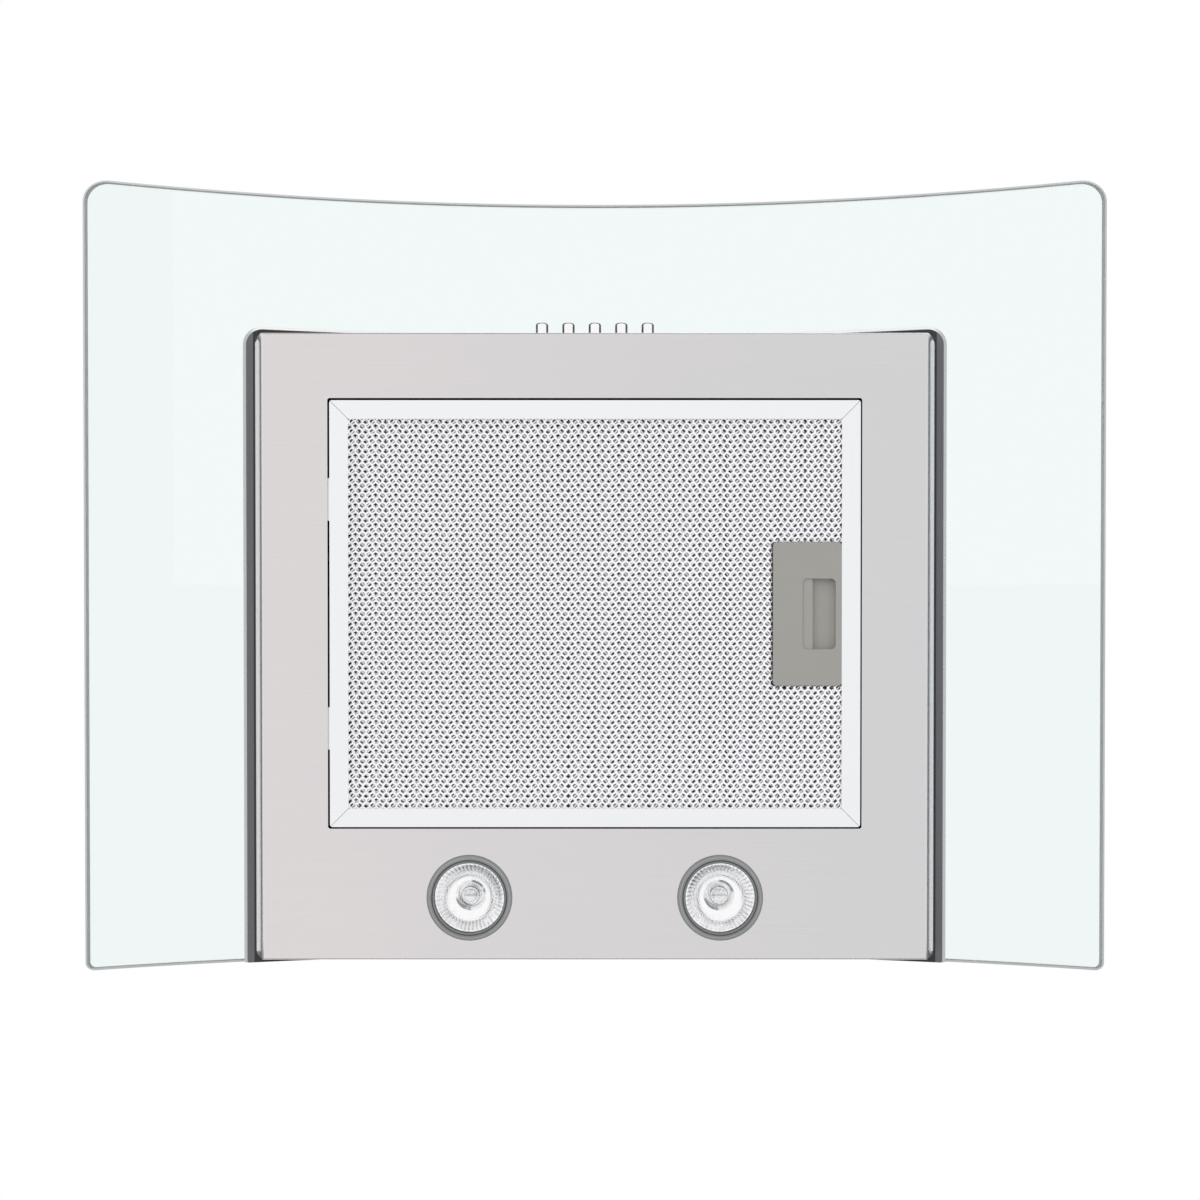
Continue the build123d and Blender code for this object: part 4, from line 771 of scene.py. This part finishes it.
@dataclass(frozen=True)
class Winding:
    """Transformer: fine parallel wires of varnished copper on the bulge, laminations on the core."""

    name: str
    copper: Colour = (0.55, 0.20, 0.07)
    core: Colour = (0.10, 0.09, 0.085)
    bulge_x: float = 0.0785
    bulge_y: float = -0.160
    bulge_half: float = 0.0152
    bulge_metallic: float = 0.7
    wires: float = 9000.0
    wire_tone: float = 0.5
    layers: float = 7000.0
    layer_contrast: tuple[float, float] = (0.6, 1.5)
    depth: float = 0.00005
    roughness: float = 0.42
    grain_scale: float = 500.0
    grain_gloss: float = 0.2

    def make(self) -> bpy.types.Material:
        """Build the material: a sine of z gives the wires, and a sine of y the laminations."""
        shader = Shader(self.name)
        x, y, z = shader.parts(shader.place())
        wires = shader.math("SINE", z * self.wires)
        layers = shader.math("SINE", y * self.layers)
        bulge = (abs(y - self.bulge_y) < self.bulge_half) * (x < self.bulge_x)
        grain = shader.noise(shader.place(), self.grain_scale)
        dark, light = (shade(self.core, share) for share in self.layer_contrast)
        core = shader.mix(layers * 0.5 + 0.5, dark, light)
        copper = shader.mix(wires * 0.5 + 0.5, shade(self.copper, self.wire_tone), self.copper)
        height = layers * (1 - bulge) + wires * bulge
        return shader.finish(shader.surface(
            Base_Color=shader.mix(bulge, core, copper), Metallic=bulge * self.bulge_metallic,
            Roughness=self.roughness + grain * self.grain_gloss, Normal=shader.bump(height, self.depth)))


def new_piece(name: str, points: np.ndarray, faces: np.ndarray, smooth: bool = False) -> bpy.types.Object:
    """Mesh object at the origin.

    Args:
        name: the piece's name.
        points: its points, in metres, one per row.
        faces: rows of point numbers, all with as many corners.
        smooth: whether its faces are shaded smoothly.

    Returns:
        The object, linked to the scene.
    """
    mesh = bpy.data.meshes.new(name)
    mesh.from_pydata(points.reshape(-1, 3).tolist(), [], faces.tolist())
    mesh.polygons.foreach_set("use_smooth", np.full(len(mesh.polygons), smooth))
    mesh.update()
    piece = bpy.data.objects.new(name, mesh)
    bpy.context.scene.collection.objects.link(piece)
    return piece


def grid_faces(rows: int, columns: int, closed: bool) -> np.ndarray:
    """Quads of a grid of points.

    Args:
        rows: rows of points.
        columns: points in a row.
        closed: whether the last column joins the first.

    Returns:
        Four point numbers per quad.
    """
    quads = columns if closed else columns - 1
    row, column = np.meshgrid(np.arange(rows - 1), np.arange(quads), indexing="ij")
    after = (column + 1) % columns
    corners = (row * columns + column, row * columns + after, (row + 1) * columns + after,
               (row + 1) * columns + column)
    return np.stack(corners, -1).reshape(-1, 4)


def dress(piece: bpy.types.Object, material: bpy.types.Material, body: str,
          replaced: Sequence[str] = ()) -> None:
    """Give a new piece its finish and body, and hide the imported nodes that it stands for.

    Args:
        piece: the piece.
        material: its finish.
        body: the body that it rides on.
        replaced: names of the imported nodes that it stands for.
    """
    piece.data.materials.append(material)
    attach(piece, body)
    if replaced:
        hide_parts(*replaced)
    LOG.info("%s: %d faces on %s", piece.name, len(piece.data.polygons), body)


def paint(material: bpy.types.Material, *names: str) -> None:
    """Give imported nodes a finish.

    Args:
        material: the finish.
        *names: the nodes' names.
    """
    for name in names:
        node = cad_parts[name]
        if not node.material_slots:
            node.data.materials.append(material)
        for slot in node.material_slots:
            slot.material = material
        LOG.info("%s: %s", name, material.name)


@dataclass
class Filter:
    """Grease filter: bright rails round two nets of expanded metal, with a sprung latch.

    Corners are in metres; levels above the tray's underside and depths are in millimetres. A hole's
    rim has its size and its shift as shares of the cell, and its setback as shares of the depth.
    """

    low: tuple[float, float] = (-0.15635, -0.3361)
    high: tuple[float, float] = (0.15665, -0.0845)
    window_low: tuple[float, float] = (-0.14535, -0.3251)
    window_high: tuple[float, float] = (0.14565, -0.0955)
    columns: int = 73
    rows: int = 79
    front_level: float = 0.9
    net_depth: float = 0.8
    hole_share: float = 0.62
    rim_width: float = 1.02
    rim_shift: tuple[float, float] = (0.03, -0.05)
    rim_back: tuple[float, float] = (0.15, 0.55)
    lean_turn: float = 0.6
    inner_level: float = 2.1
    inner_depth: float = 0.7
    inner_width: float = 1.5
    inner_shift: tuple[float, float] = (0.1, 0.4)
    latch_low: tuple[float, float] = (0.10525, -0.25255)
    latch_high: tuple[float, float] = (0.1458, -0.16805)

    def net(self, name: str, height: float, depth: float, pitch: tuple[float, float],
            shift: tuple[float, float], rows: tuple[int, int]) -> bpy.types.Object:
        """Sheet of expanded metal.

        Cells stand in staggered rows. Each is a hexagon, whose corners lie halfway to its six
        neighbours, round a smaller hole. The hexagon's edge is the crest of the strands; the hole's
        rim lies back from it, further on one side, as the strands of expanded metal lean. Cells whose
        middle the latch covers are left out, and a point that it covers goes to its nearest edge.

        Args:
            name: the piece's name.
            height: the crest's height above the tray's underside, in millimetres.
            depth: the strand's depth, in millimetres.
            pitch: cell width and row spacing, in metres.
            shift: how far the pattern is shifted, in cells.
            rows: the first row and the one after the last.

        Returns:
            The net.
        """
        pitch_x, pitch_y = pitch
        columns = math.ceil((self.window_high[0] - self.window_low[0]) / pitch_x) + 1
        row, column = np.meshgrid(np.arange(*rows), np.arange(-1, columns), indexing="ij")
        x = self.window_low[0] + pitch_x * (column + 0.5 + shift[0] + 0.5 * (row % 2))
        y = self.window_low[1] + pitch_y * (row + 0.5 + shift[1])
        x, y = x.ravel(), y.ravel()
        under = (x > self.latch_low[0]) & (y > self.latch_low[1]) & (y < self.latch_high[1])
        x, y = x[~under], y[~under]
        reach = (pitch_x**2 / 4 + pitch_y**2) / 2
        tip = reach / pitch_y
        side = (reach - pitch_x**2 / 4) / pitch_y
        corner_x = np.array([0, -pitch_x / 2, -pitch_x / 2, 0, pitch_x / 2, pitch_x / 2])
        corner_y = np.array([tip, side, -side, -tip, -side, side])
        lean = 0.5 + 0.5 * np.sin(np.arctan2(corner_y, corner_x) + self.lean_turn)
        rim_x = corner_x * self.hole_share * self.rim_width + pitch_x * self.rim_shift[0]
        rim_y = corner_y * self.hole_share + pitch_y * self.rim_shift[1]
        least, more = self.rim_back
        crest = level(height)
        rings = []
        for ring_x, ring_y, back in (
            (corner_x, corner_y, np.zeros(6)),
            (rim_x, rim_y, depth * (least + more * lean)),
            (rim_x, rim_y, np.full(6, depth)),
        ):
            points = np.empty((len(x), 6, 3))
            points[..., 0] = x[:, None] + ring_x
            points[..., 1] = y[:, None] + ring_y
            points[..., 2] = crest + back * MM
            rings.append(points)
        points = np.stack(rings, 1)
        across, along = points[..., 0], points[..., 1]
        left, front, rear = self.latch_low[0], self.latch_low[1], self.latch_high[1]
        depths = np.stack((across - left, along - front, rear - along))
        covered = (depths > 0).all(0)
        nearest = np.argmin(depths, 0)
        for number, (values, edge) in enumerate(((across, left), (along, front), (along, rear))):
            values[covered & (nearest == number)] = edge
        one = grid_faces(len(rings), 6, True)
        first = np.arange(len(x)) * len(rings) * 6
        return new_piece(name, points, (one[None] + first[:, None, None]).reshape(-1, 4))

    def build(self, finishes: dict[str, bpy.types.Material]) -> None:
        """Make the nets and dress the rails and the latch.

        Args:
            finishes: all finishes by name.
        """
        middle = self.rows // 2
        span = np.subtract(self.window_high, self.window_low)
        pitch = (span[0] / self.columns, span[1] / self.rows)
        for name, rows in (("filter_net_front", (-1, middle)), ("filter_net_rear", (middle, self.rows + 1))):
            piece = self.net(name, self.front_level, self.net_depth, pitch, (0.0, 0.0), rows)
            dress(piece, finishes["net"], "filter",
                  ("filter_mesh_front",) if rows[0] < 0 else ())
        wider = (pitch[0] * self.inner_width, pitch[1])
        inner = self.net("filter_net_inner", self.inner_level, self.inner_depth, wider, self.inner_shift,
                         (-2, self.rows + 2))
        dress(inner, finishes["inner_net"], "filter")
        sides = ("left", "right", "front", "rear")
        paint(finishes["rail"], *["filter_rail_" + side for side in sides])
        # Painted shade: the core and the back mesh behind the nets take a near-black tone.
        paint(finishes["core"], "filter_core", "filter_mesh_back")
        paint(finishes["latch"], "latch_cover", "latch_slider")
        paint(finishes["spring"], "latch_spring")


@dataclass
class Lamp:
    """Recessed lamp: bezel, glass, faceted dish, capsule bulb with its filament, and socket.

    The axis is in metres; the dish's and the filament's sizes are in millimetres, and levels are above
    the tray's underside. A share is a part of the way from the throat to the mouth.
    """

    name: str
    x: float
    y: float = -0.0427
    mouth_radius: float = 20.5
    throat_radius: float = 4.17
    mouth_level: float = 1.4
    depth: float = 16.9
    flutes: int = 48
    bowl_depth: float = 9.6
    rings: int = 13
    neck_share: float = 0.243
    lip_share: float = 0.965
    flute_depth: float = 0.022
    seam_radius: float = 15.3
    sheet: float = 0.5
    filament_level: float = 11.0
    filament_length: float = 5.0
    support_length: float = 5.0
    support_share: float = 0.15
    coil_radius: float = 0.7
    coil_turns: int = 9
    wire_radius: float = 0.14
    wire_points: int = 181
    wire_sides: int = 6
    wire_aside: tuple[float, float, float] = (0.3, 0.9, 0.31)

    def across(self, share: np.ndarray) -> np.ndarray:
        """The dish's radius, in millimetres, at shares of the way from the throat to the mouth."""
        return self.throat_radius + (self.mouth_radius - self.throat_radius) * share

    def dish(self) -> bpy.types.Object:
        """Fluted dish: a flat lip, a bowl and its neck, turned round the lamp's axis.

        The bowl is a parabola: its height falls with the square of the share of the way from the throat
        to the mouth. The neck is a tube above it. Every second column of points is drawn in a little near
        the mouth, which makes the flutes, and less and less up to the seam, above which it is smooth.

        Returns:
            The dish.
        """
        bowl = np.linspace(self.lip_share, self.neck_share, self.rings)
        share = np.concatenate(([1.0], bowl, [self.neck_share]))[:, None]
        up = self.bowl_depth * (self.lip_share**2 - share**2) / (self.lip_share**2 - self.neck_share**2)
        up[0], up[-1] = 0.0, self.depth
        column = np.arange(self.flutes * 2)[None, :]
        turn = np.pi * column / self.flutes
        radius = self.across(share)
        fluted = np.sqrt(np.clip((radius - self.seam_radius) / (self.mouth_radius - self.seam_radius), 0, 1))
        fluted[0] = 0.0
        draw = 1 - self.flute_depth * (column % 2) * fluted
        points = np.stack(np.broadcast_arrays(
            self.x + radius * draw * np.cos(turn) * MM,
            self.y + radius * draw * np.sin(turn) * MM,
            level(0) + (self.mouth_level + up) * MM), -1)
        faces = grid_faces(self.rings + 2, self.flutes * 2, True)
        piece = new_piece("lamp_dish_" + self.name, points, faces)
        wall = piece.modifiers.new("wall", "SOLIDIFY")
        wall.thickness = self.sheet * MM
        wall.offset = -1.0
        return piece

    def filament(self) -> bpy.types.Object:
        """Filament and its two supports: a small tube carried along a coil between two uprights.

        The first and the last share of the wire's run are the supports, which fall to the coil's level
        and rise from it. Between them the wire turns evenly round a level line.

        Returns:
            The filament.
        """
        run = np.linspace(0, 1, self.wire_points)
        first, last = self.support_share, 1 - self.support_share
        coil = np.clip((run - first) / (last - first), 0, 1)
        angle = coil * 2 * np.pi * self.coil_turns
        inside = (run > first) & (run < last)
        rise = np.where(run <= first, 1 - run / first, np.where(run >= last, (run - last) / first, 0))
        round_line = np.where(inside, self.coil_radius * np.cos(angle), self.coil_radius)
        centre = np.stack((
            (coil - 0.5) * self.filament_length,
            np.where(inside, self.coil_radius * np.sin(angle), 0.0),
            rise * self.support_length + round_line), -1)
        along = np.gradient(centre, axis=0)
        along /= np.linalg.norm(along, axis=1)[:, None] + TINY
        across = np.cross(along, self.wire_aside)
        across /= np.linalg.norm(across, axis=1)[:, None] + TINY
        other = np.cross(along, across)
        turn = 2 * np.pi * np.arange(self.wire_sides) / self.wire_sides
        spokes = across[:, None] * np.cos(turn)[:, None] + other[:, None] * np.sin(turn)[:, None]
        tube = centre[:, None] + self.wire_radius * spokes
        points = tube * MM + np.array([self.x, self.y, level(self.filament_level)])
        faces = grid_faces(self.wire_points, self.wire_sides, True)
        return new_piece("lamp_filament_" + self.name, points, faces, smooth=True)

    def build(self, finishes: dict[str, bpy.types.Material]) -> None:
        """Make the dish and the filament, and dress the rest.

        Args:
            finishes: all finishes by name.
        """
        neck = float(self.across(np.array(self.neck_share))) * MM
        plating = FacetedMetal("faceted_plating_" + self.name, self.x, self.y, self.flutes, neck,
                               self.seam_radius * MM)
        dress(self.dish(), plating.make(), "hood", ("lamp_reflector_" + self.name,))
        dress(self.filament(), finishes["filament"], "hood")
        paint(BezelMetal("bezel_nickel_" + self.name, self.x, self.y).make(), "lamp_ring_" + self.name)
        paint(finishes["lamp_glass"], "lamp_glass_" + self.name)
        paint(finishes["bulb"], "lamp_bulb_" + self.name)
        paint(finishes["socket"], "lamp_socket_" + self.name)


@dataclass
class Canopy:
    """Bent glass with its seal, its bushes and its screws."""

    def build(self, finishes: dict[str, bpy.types.Material]) -> None:
        """Dress the glass and what holds it.

        Args:
            finishes: all finishes by name.
        """
        paint(finishes["canopy"], "glass_canopy")
        paint(finishes["seal"], "glass_seal")
        paint(finishes["rubber"], "glass_bushes", "motor_bushes")
        paint(finishes["chrome"], "glass_screws")
        paint(finishes["zinc"], "glass_nuts")


@dataclass
class Tray:
    """Folded steel tray with a rolled bead on each side wall, its plate, switch block and buttons.

    Sizes are in millimetres; a pair is a distance from the middle and a height above the underside.
    """

    buttons: tuple[str, ...] = ("light", "off", "low", "medium", "high")
    wall_foot: tuple[float, float] = (196.56, 1.35)
    wall_head: tuple[float, float] = (205.30, 22.26)
    bead_levels: tuple[float, float, float, float] = (10.2, 13.0, 13.6, 21.6)
    bead_height: float = 1.3
    bead_sink: float = 0.05
    bead_back: float = 0.4
    bead_ends: tuple[float, float] = (-374.5, -7.0)
    bead_fade: float = 2.0
    bead_rows: int = 24

    def bead(self, name: str, side: int) -> bpy.types.Object:
        """Rolled bead along a side wall.

        Its height over the wall is a smooth rise from the first level to the second, times a smooth fall
        from the third to the fourth. It fades out at both ends, and its edges and back lie in the sheet.

        Args:
            name: the side's name.
            side: -1 for the left wall, 1 for the right one.

        Returns:
            The bead.
        """
        foot, along = np.array(self.wall_foot), np.subtract(self.wall_head, self.wall_foot)
        outward = np.array([along[1], -along[0]]) / np.hypot(*along)
        first, rise, fall, last = self.bead_levels
        heights = np.linspace(first, last, self.bead_rows)
        on_wall = foot + ((heights - foot[1]) / along[1])[:, None] * along
        up = np.clip((heights - first) / (rise - first), 0, 1)
        down = np.clip((heights - fall) / (last - fall), 0, 1)
        proud = self.bead_height * up**2 * (3 - 2 * up) * (1 - down**2 * (3 - 2 * down))
        low, high = self.bead_ends
        places = np.array([low, low + self.bead_fade, high - self.bead_fade, high])
        rings = []
        for share in (0, 1, 1, 0):
            outer = on_wall + (proud * share - self.bead_sink)[:, None] * outward
            rings.append(np.concatenate((outer, on_wall[::-1] - self.bead_back * outward)))
        ring = np.stack(rings)
        points = np.stack((
            side * ring[..., 0] * MM, np.broadcast_to(places[:, None] * MM, ring.shape[:2]),
            level(0) + ring[..., 1] * MM), -1)
        count = 2 * self.bead_rows
        start = np.arange(self.bead_rows - 1)
        cap = np.stack((start, start + 1, count - 2 - start, count - 1 - start), -1)
        faces = np.concatenate((grid_faces(4, count, True), cap[:, ::-1], cap + 3 * count))
        return new_piece("tray_bead_" + name, points, faces[:, ::-1] if side > 0 else faces)

    def build(self, finishes: dict[str, bpy.types.Material]) -> None:
        """Dress the tray and its switches.

        Args:
            finishes: all finishes by name.
        """
        for side, name in ((-1, "left"), (1, "right")):
            dress(self.bead(name, side), finishes["panel"], "hood")
        paint(finishes["panel"], "hood_tray")
        paint(finishes["border"], "top_plate")
        paint(finishes["button"], *["button_" + name for name in self.buttons])
        paint(finishes["black"], "switch_block")
        paint(finishes["zinc"], "switch_nuts")
        paint(finishes["spring"], "lamp_clips")


@dataclass
class Fan:
    """Motor case with its fan, motor and electric parts."""

    def build(self, finishes: dict[str, bpy.types.Material]) -> None:
        """Dress the case and all that it holds.

        Args:
            finishes: all finishes by name.
        """
        paint(finishes["galvanised"], "motor_case", "capacitor_clamp", "chimney_bracket")
        paint(finishes["black"], "scroll_front_half", "scroll_rear_half", "inlet_grille", "duct_collar",
              "damper_flap_front", "damper_flap_rear", "cable_gland")
        paint(finishes["white"], "impeller", "terminal_box", "run_capacitor")
        paint(finishes["cast"], "motor_housing")
        paint(finishes["winding"], "lamp_transformer")
        paint(finishes["spring"], "damper_pin", "motor_shaft")
        paint(finishes["zinc"], "tapping_screws", "motor_screws", "impeller_nut", "bracket_screws")


@dataclass
class Chimney:
    """Two brushed sleeves over the duct."""

    def build(self, finishes: dict[str, bpy.types.Material]) -> None:
        """Dress the sleeves.

        Args:
            finishes: all finishes by name.
        """
        paint(finishes["sleeve"], "lower_chimney", "upper_chimney")


@dataclass
class Studio:
    """Camera under the hood, pale floor, white surroundings and soft lamps."""

    place: tuple[float, float, float] = (0.00309, -0.1872, -1.1298)
    pitch: float = math.radians(0.66)
    focal_pixels: float = 1551.0
    frame_pixels: float = 1200.0
    centre_row: float = 671.0
    sensor: float = 36.0
    nearest: float = 0.01
    floor_level: float = -1.87
    floor_half: float = 40.0
    floor_tones: tuple[Colour, Colour] = ((0.80, 0.80, 0.80), (0.83, 0.83, 0.83))
    floor_roughness: float = 0.7
    floor_dust: float = 3.0
    world_light: float = 0.75
    horizon: float = 0.16
    horizon_half: float = 0.18
    horizon_blur: float = 0.06
    horizon_shade: float = 0.82

    def camera(self) -> None:
        """Camera looking up, tipped by a small pitch, with the hood's front at the picture's top."""
        data = bpy.data.cameras.new("camera")
        data.sensor_width = self.sensor
        data.lens = self.focal_pixels / self.frame_pixels * self.sensor
        data.shift_y = (self.centre_row - self.frame_pixels / 2) / self.frame_pixels
        data.clip_start = self.nearest
        camera = bpy.data.objects.new("camera", data)
        sine, cosine = math.sin(self.pitch), math.cos(self.pitch)
        camera.matrix_world = Matrix.Translation(self.place) @ Matrix(
            ((1, 0, 0, 0), (0, -cosine, -sine, 0), (0, sine, -cosine, 0), (0, 0, 0, 1)))
        bpy.context.scene.collection.objects.link(camera)
        bpy.context.scene.camera = camera

    def floor(self) -> None:
        """Pale plain floor, white in mirrors and through glass."""
        shader = Shader("floor_pale")
        dust = shader.noise(shader.place(), self.floor_dust)
        matt = shader.surface(Base_Color=shader.mix(dust, *self.floor_tones), Roughness=self.floor_roughness)
        path = shader.add("ShaderNodeLightPath").outputs
        seen = Val(shader, path["Is Glossy Ray"]) + Val(shader, path["Is Transmission Ray"])
        white = shader.add("ShaderNodeEmission", sockets={"Color": (1, 1, 1), "Strength": 1.0}).outputs[0]
        mixed = shader.add("ShaderNodeMixShader", sockets={0: seen > 0.5, 1: matt, 2: white})
        material = shader.finish(mixed.outputs[0])
        half = self.floor_half
        corners = np.array([(-half, -half, 0), (half, -half, 0), (half, half, 0), (-half, half, 0)], float)
        corners[:, 2] = self.floor_level
        floor = new_piece("floor", corners, np.array([[0, 1, 2, 3]]))
        floor.data.materials.append(material)

    def surroundings(self) -> None:
        """White world for the eye and through glass, with a grey horizon in mirrors, and a plain light."""
        world = bpy.data.worlds.new("surroundings")
        bpy.context.scene.world = world
        shader = Shader.of_world(world)
        path = shader.add("ShaderNodeLightPath").outputs
        eye = Val(shader, path["Is Camera Ray"]) + Val(shader, path["Is Transmission Ray"]) > 0.5
        mirror = Val(shader, path["Is Glossy Ray"]) * (1 - eye)
        up = shader.parts(shader.add("ShaderNodeTexCoord").outputs["Generated"])[2]
        horizon = 1 - shader.step(
            abs(up - self.horizon), self.horizon_half, self.horizon_half + self.horizon_blur)
        strength = eye + mirror * (1 - horizon * self.horizon_shade) + (1 - eye - mirror) * self.world_light
        background = shader.add("ShaderNodeBackground", sockets={"Color": (1, 1, 1), "Strength": strength})
        shader.add("ShaderNodeOutputWorld", sockets={"Surface": background.outputs[0]})

    def lamp(self, name: str, place: Sequence[float], aim: Sequence[float], size: float,
             power: float) -> None:
        """Square soft lamp.

        Args:
            name: its name.
            place: where it stands, in metres.
            aim: the point that it faces.
            size: its edge, in metres.
            power: its power, in watts.
        """
        data = bpy.data.lights.new(name, "AREA")
        data.shape = "SQUARE"
        data.size = size
        data.energy = power
        lamp = bpy.data.objects.new(name, data)
        lamp.visible_camera = False
        lamp.visible_glossy = False
        way = Vector(aim) - Vector(place)
        lamp.rotation_euler = way.to_track_quat("-Z", "Y").to_euler()
        lamp.location = place
        bpy.context.scene.collection.objects.link(lamp)

    def build(self) -> None:
        """Set the whole studio."""
        self.camera()
        self.floor()
        self.surroundings()
        self.lamp("key", place=(1.4, -2.6, 1.9), aim=(0, -0.2, 0), size=3.0, power=30.0)
        self.lamp("under", place=(-0.9, -1.5, -1.8), aim=(-0.9, -1.5, 0), size=2.4, power=11.0)
        bpy.context.scene.view_settings.view_transform = "Standard"


def make_finishes() -> dict[str, bpy.types.Material]:
    """Make all finishes.

    Returns:
        Materials by the names that the sub-assemblies use.
    """
    made = {
        # The panel's left and right colours differ by a painted reflection.
        "panel": BrushedSheet(
            "brushed_panel", (0.806, 0.752, 0.752), (0.663, 0.672, 0.687), 0.30, Grain.FOLDED),
        "sleeve": BrushedSheet(
            "brushed_sleeve", (0.62, 0.61, 0.60), (0.62, 0.61, 0.60), 0.28, Grain.UPRIGHT),
        # Painted reflection: the top plate's dark grey stands in for its dark reflection.
        "border": DarkBorder("grey_border", (0.145, 0.147, 0.166), Tray.wall_head[0] * MM),
        "rail": RailMetal("rail_aluminium", (0.968, 0.984, 1.0), Filter.low, Filter.high),
        # Painted shade: the nets' root colours darken their strands' sides, and the deeper inner net has
        # darker colours.
        "net": NetMetal("net_aluminium", (1.0, 0.99, 1.0), (0.55, 0.54, 0.60),
                        Filter.front_level, Filter.net_depth),
        "inner_net": NetMetal("inner_net_aluminium", (0.93, 0.92, 0.99), (0.25, 0.24, 0.29),
                              Filter.inner_level, Filter.inner_depth),
        # Painted shade: the filter's aluminium core is near-black, for the shade behind the nets.
        "core": Moulded("painted_shade_core_aluminium", (0.05, 0.05, 0.052), 0.5),
        "latch": Moulded("latch_grey", (0.425, 0.42, 0.391), 0.55),
        "spring": Polished("spring_steel", (0.50, 0.50, 0.50), 0.25),
        "chrome": Polished("screw_chrome", (0.80, 0.80, 0.81), 0.06),
        # Painted reflection: the buttons' chrome darkens at its edges.
        "button": Polished("button_chrome", (0.96, 0.96, 0.97), 0.04, 0.03, painted_dark_reflection=0.95),
        "lamp_glass": ClearGlass("lamp_glass", (0.95, 0.97, 0.98), 0.012, 0.01),
        "bulb": ClearGlass("bulb_glass", (0.97, 0.98, 0.99), 0.55, 0.9, metallic=1.0),
        "filament": Polished("filament_metal", (0.30, 0.29, 0.28), 0.3),
        "socket": Polished("socket_plating", (0.96, 0.96, 0.97), 0.25, 0.10),
        "canopy": CanopyGlass("canopy_glass", (0.862, 0.918, 0.918), (0.68, 0.69, 0.70)),
        # Painted highlight: the seal's near-white front colour.
        "seal": SealStrip("silvered_seal", (0.53, 0.56, 0.565), (0.97, 0.975, 0.98), 0.2095),
        "rubber": Moulded("black_rubber", (0.03, 0.03, 0.03), 0.6),
        "zinc": Polished("zinc_plating", (0.62, 0.63, 0.66), 0.30, 0.12),
        "black": Moulded("black_moulding", (0.035, 0.035, 0.037), 0.45),
        "white": Moulded("white_moulding", (0.78, 0.77, 0.73), 0.45),
        "galvanised": ZincSheet("galvanised_sheet", (0.56, 0.57, 0.59)),
        "cast": Moulded("cast_motor", (0.45, 0.46, 0.47), 0.4, depth=0.00004),
        "winding": Winding("copper_winding"),
    }
    return {name: finish.make() for name, finish in made.items()}


def corners(box: Sequence[Sequence[float]]) -> list[list[float]]:
    """A box's two corners as plain lists."""
    return [[float(part) for part in corner] for corner in box]


def main() -> None:
    """Build every sub-assembly in order."""
    logging.basicConfig(level=logging.INFO, format="%(name)s %(message)s")
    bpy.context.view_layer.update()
    finishes = make_finishes()
    Tray().build(finishes)
    Canopy().build(finishes)
    Filter().build(finishes)
    for side, name in ((-1, "left"), (1, "right")):
        Lamp(name, side * LAMP_X).build(finishes)
    Fan().build(finishes)
    Chimney().build(finishes)
    Studio().build()


if __name__ == "__main__":
    main()
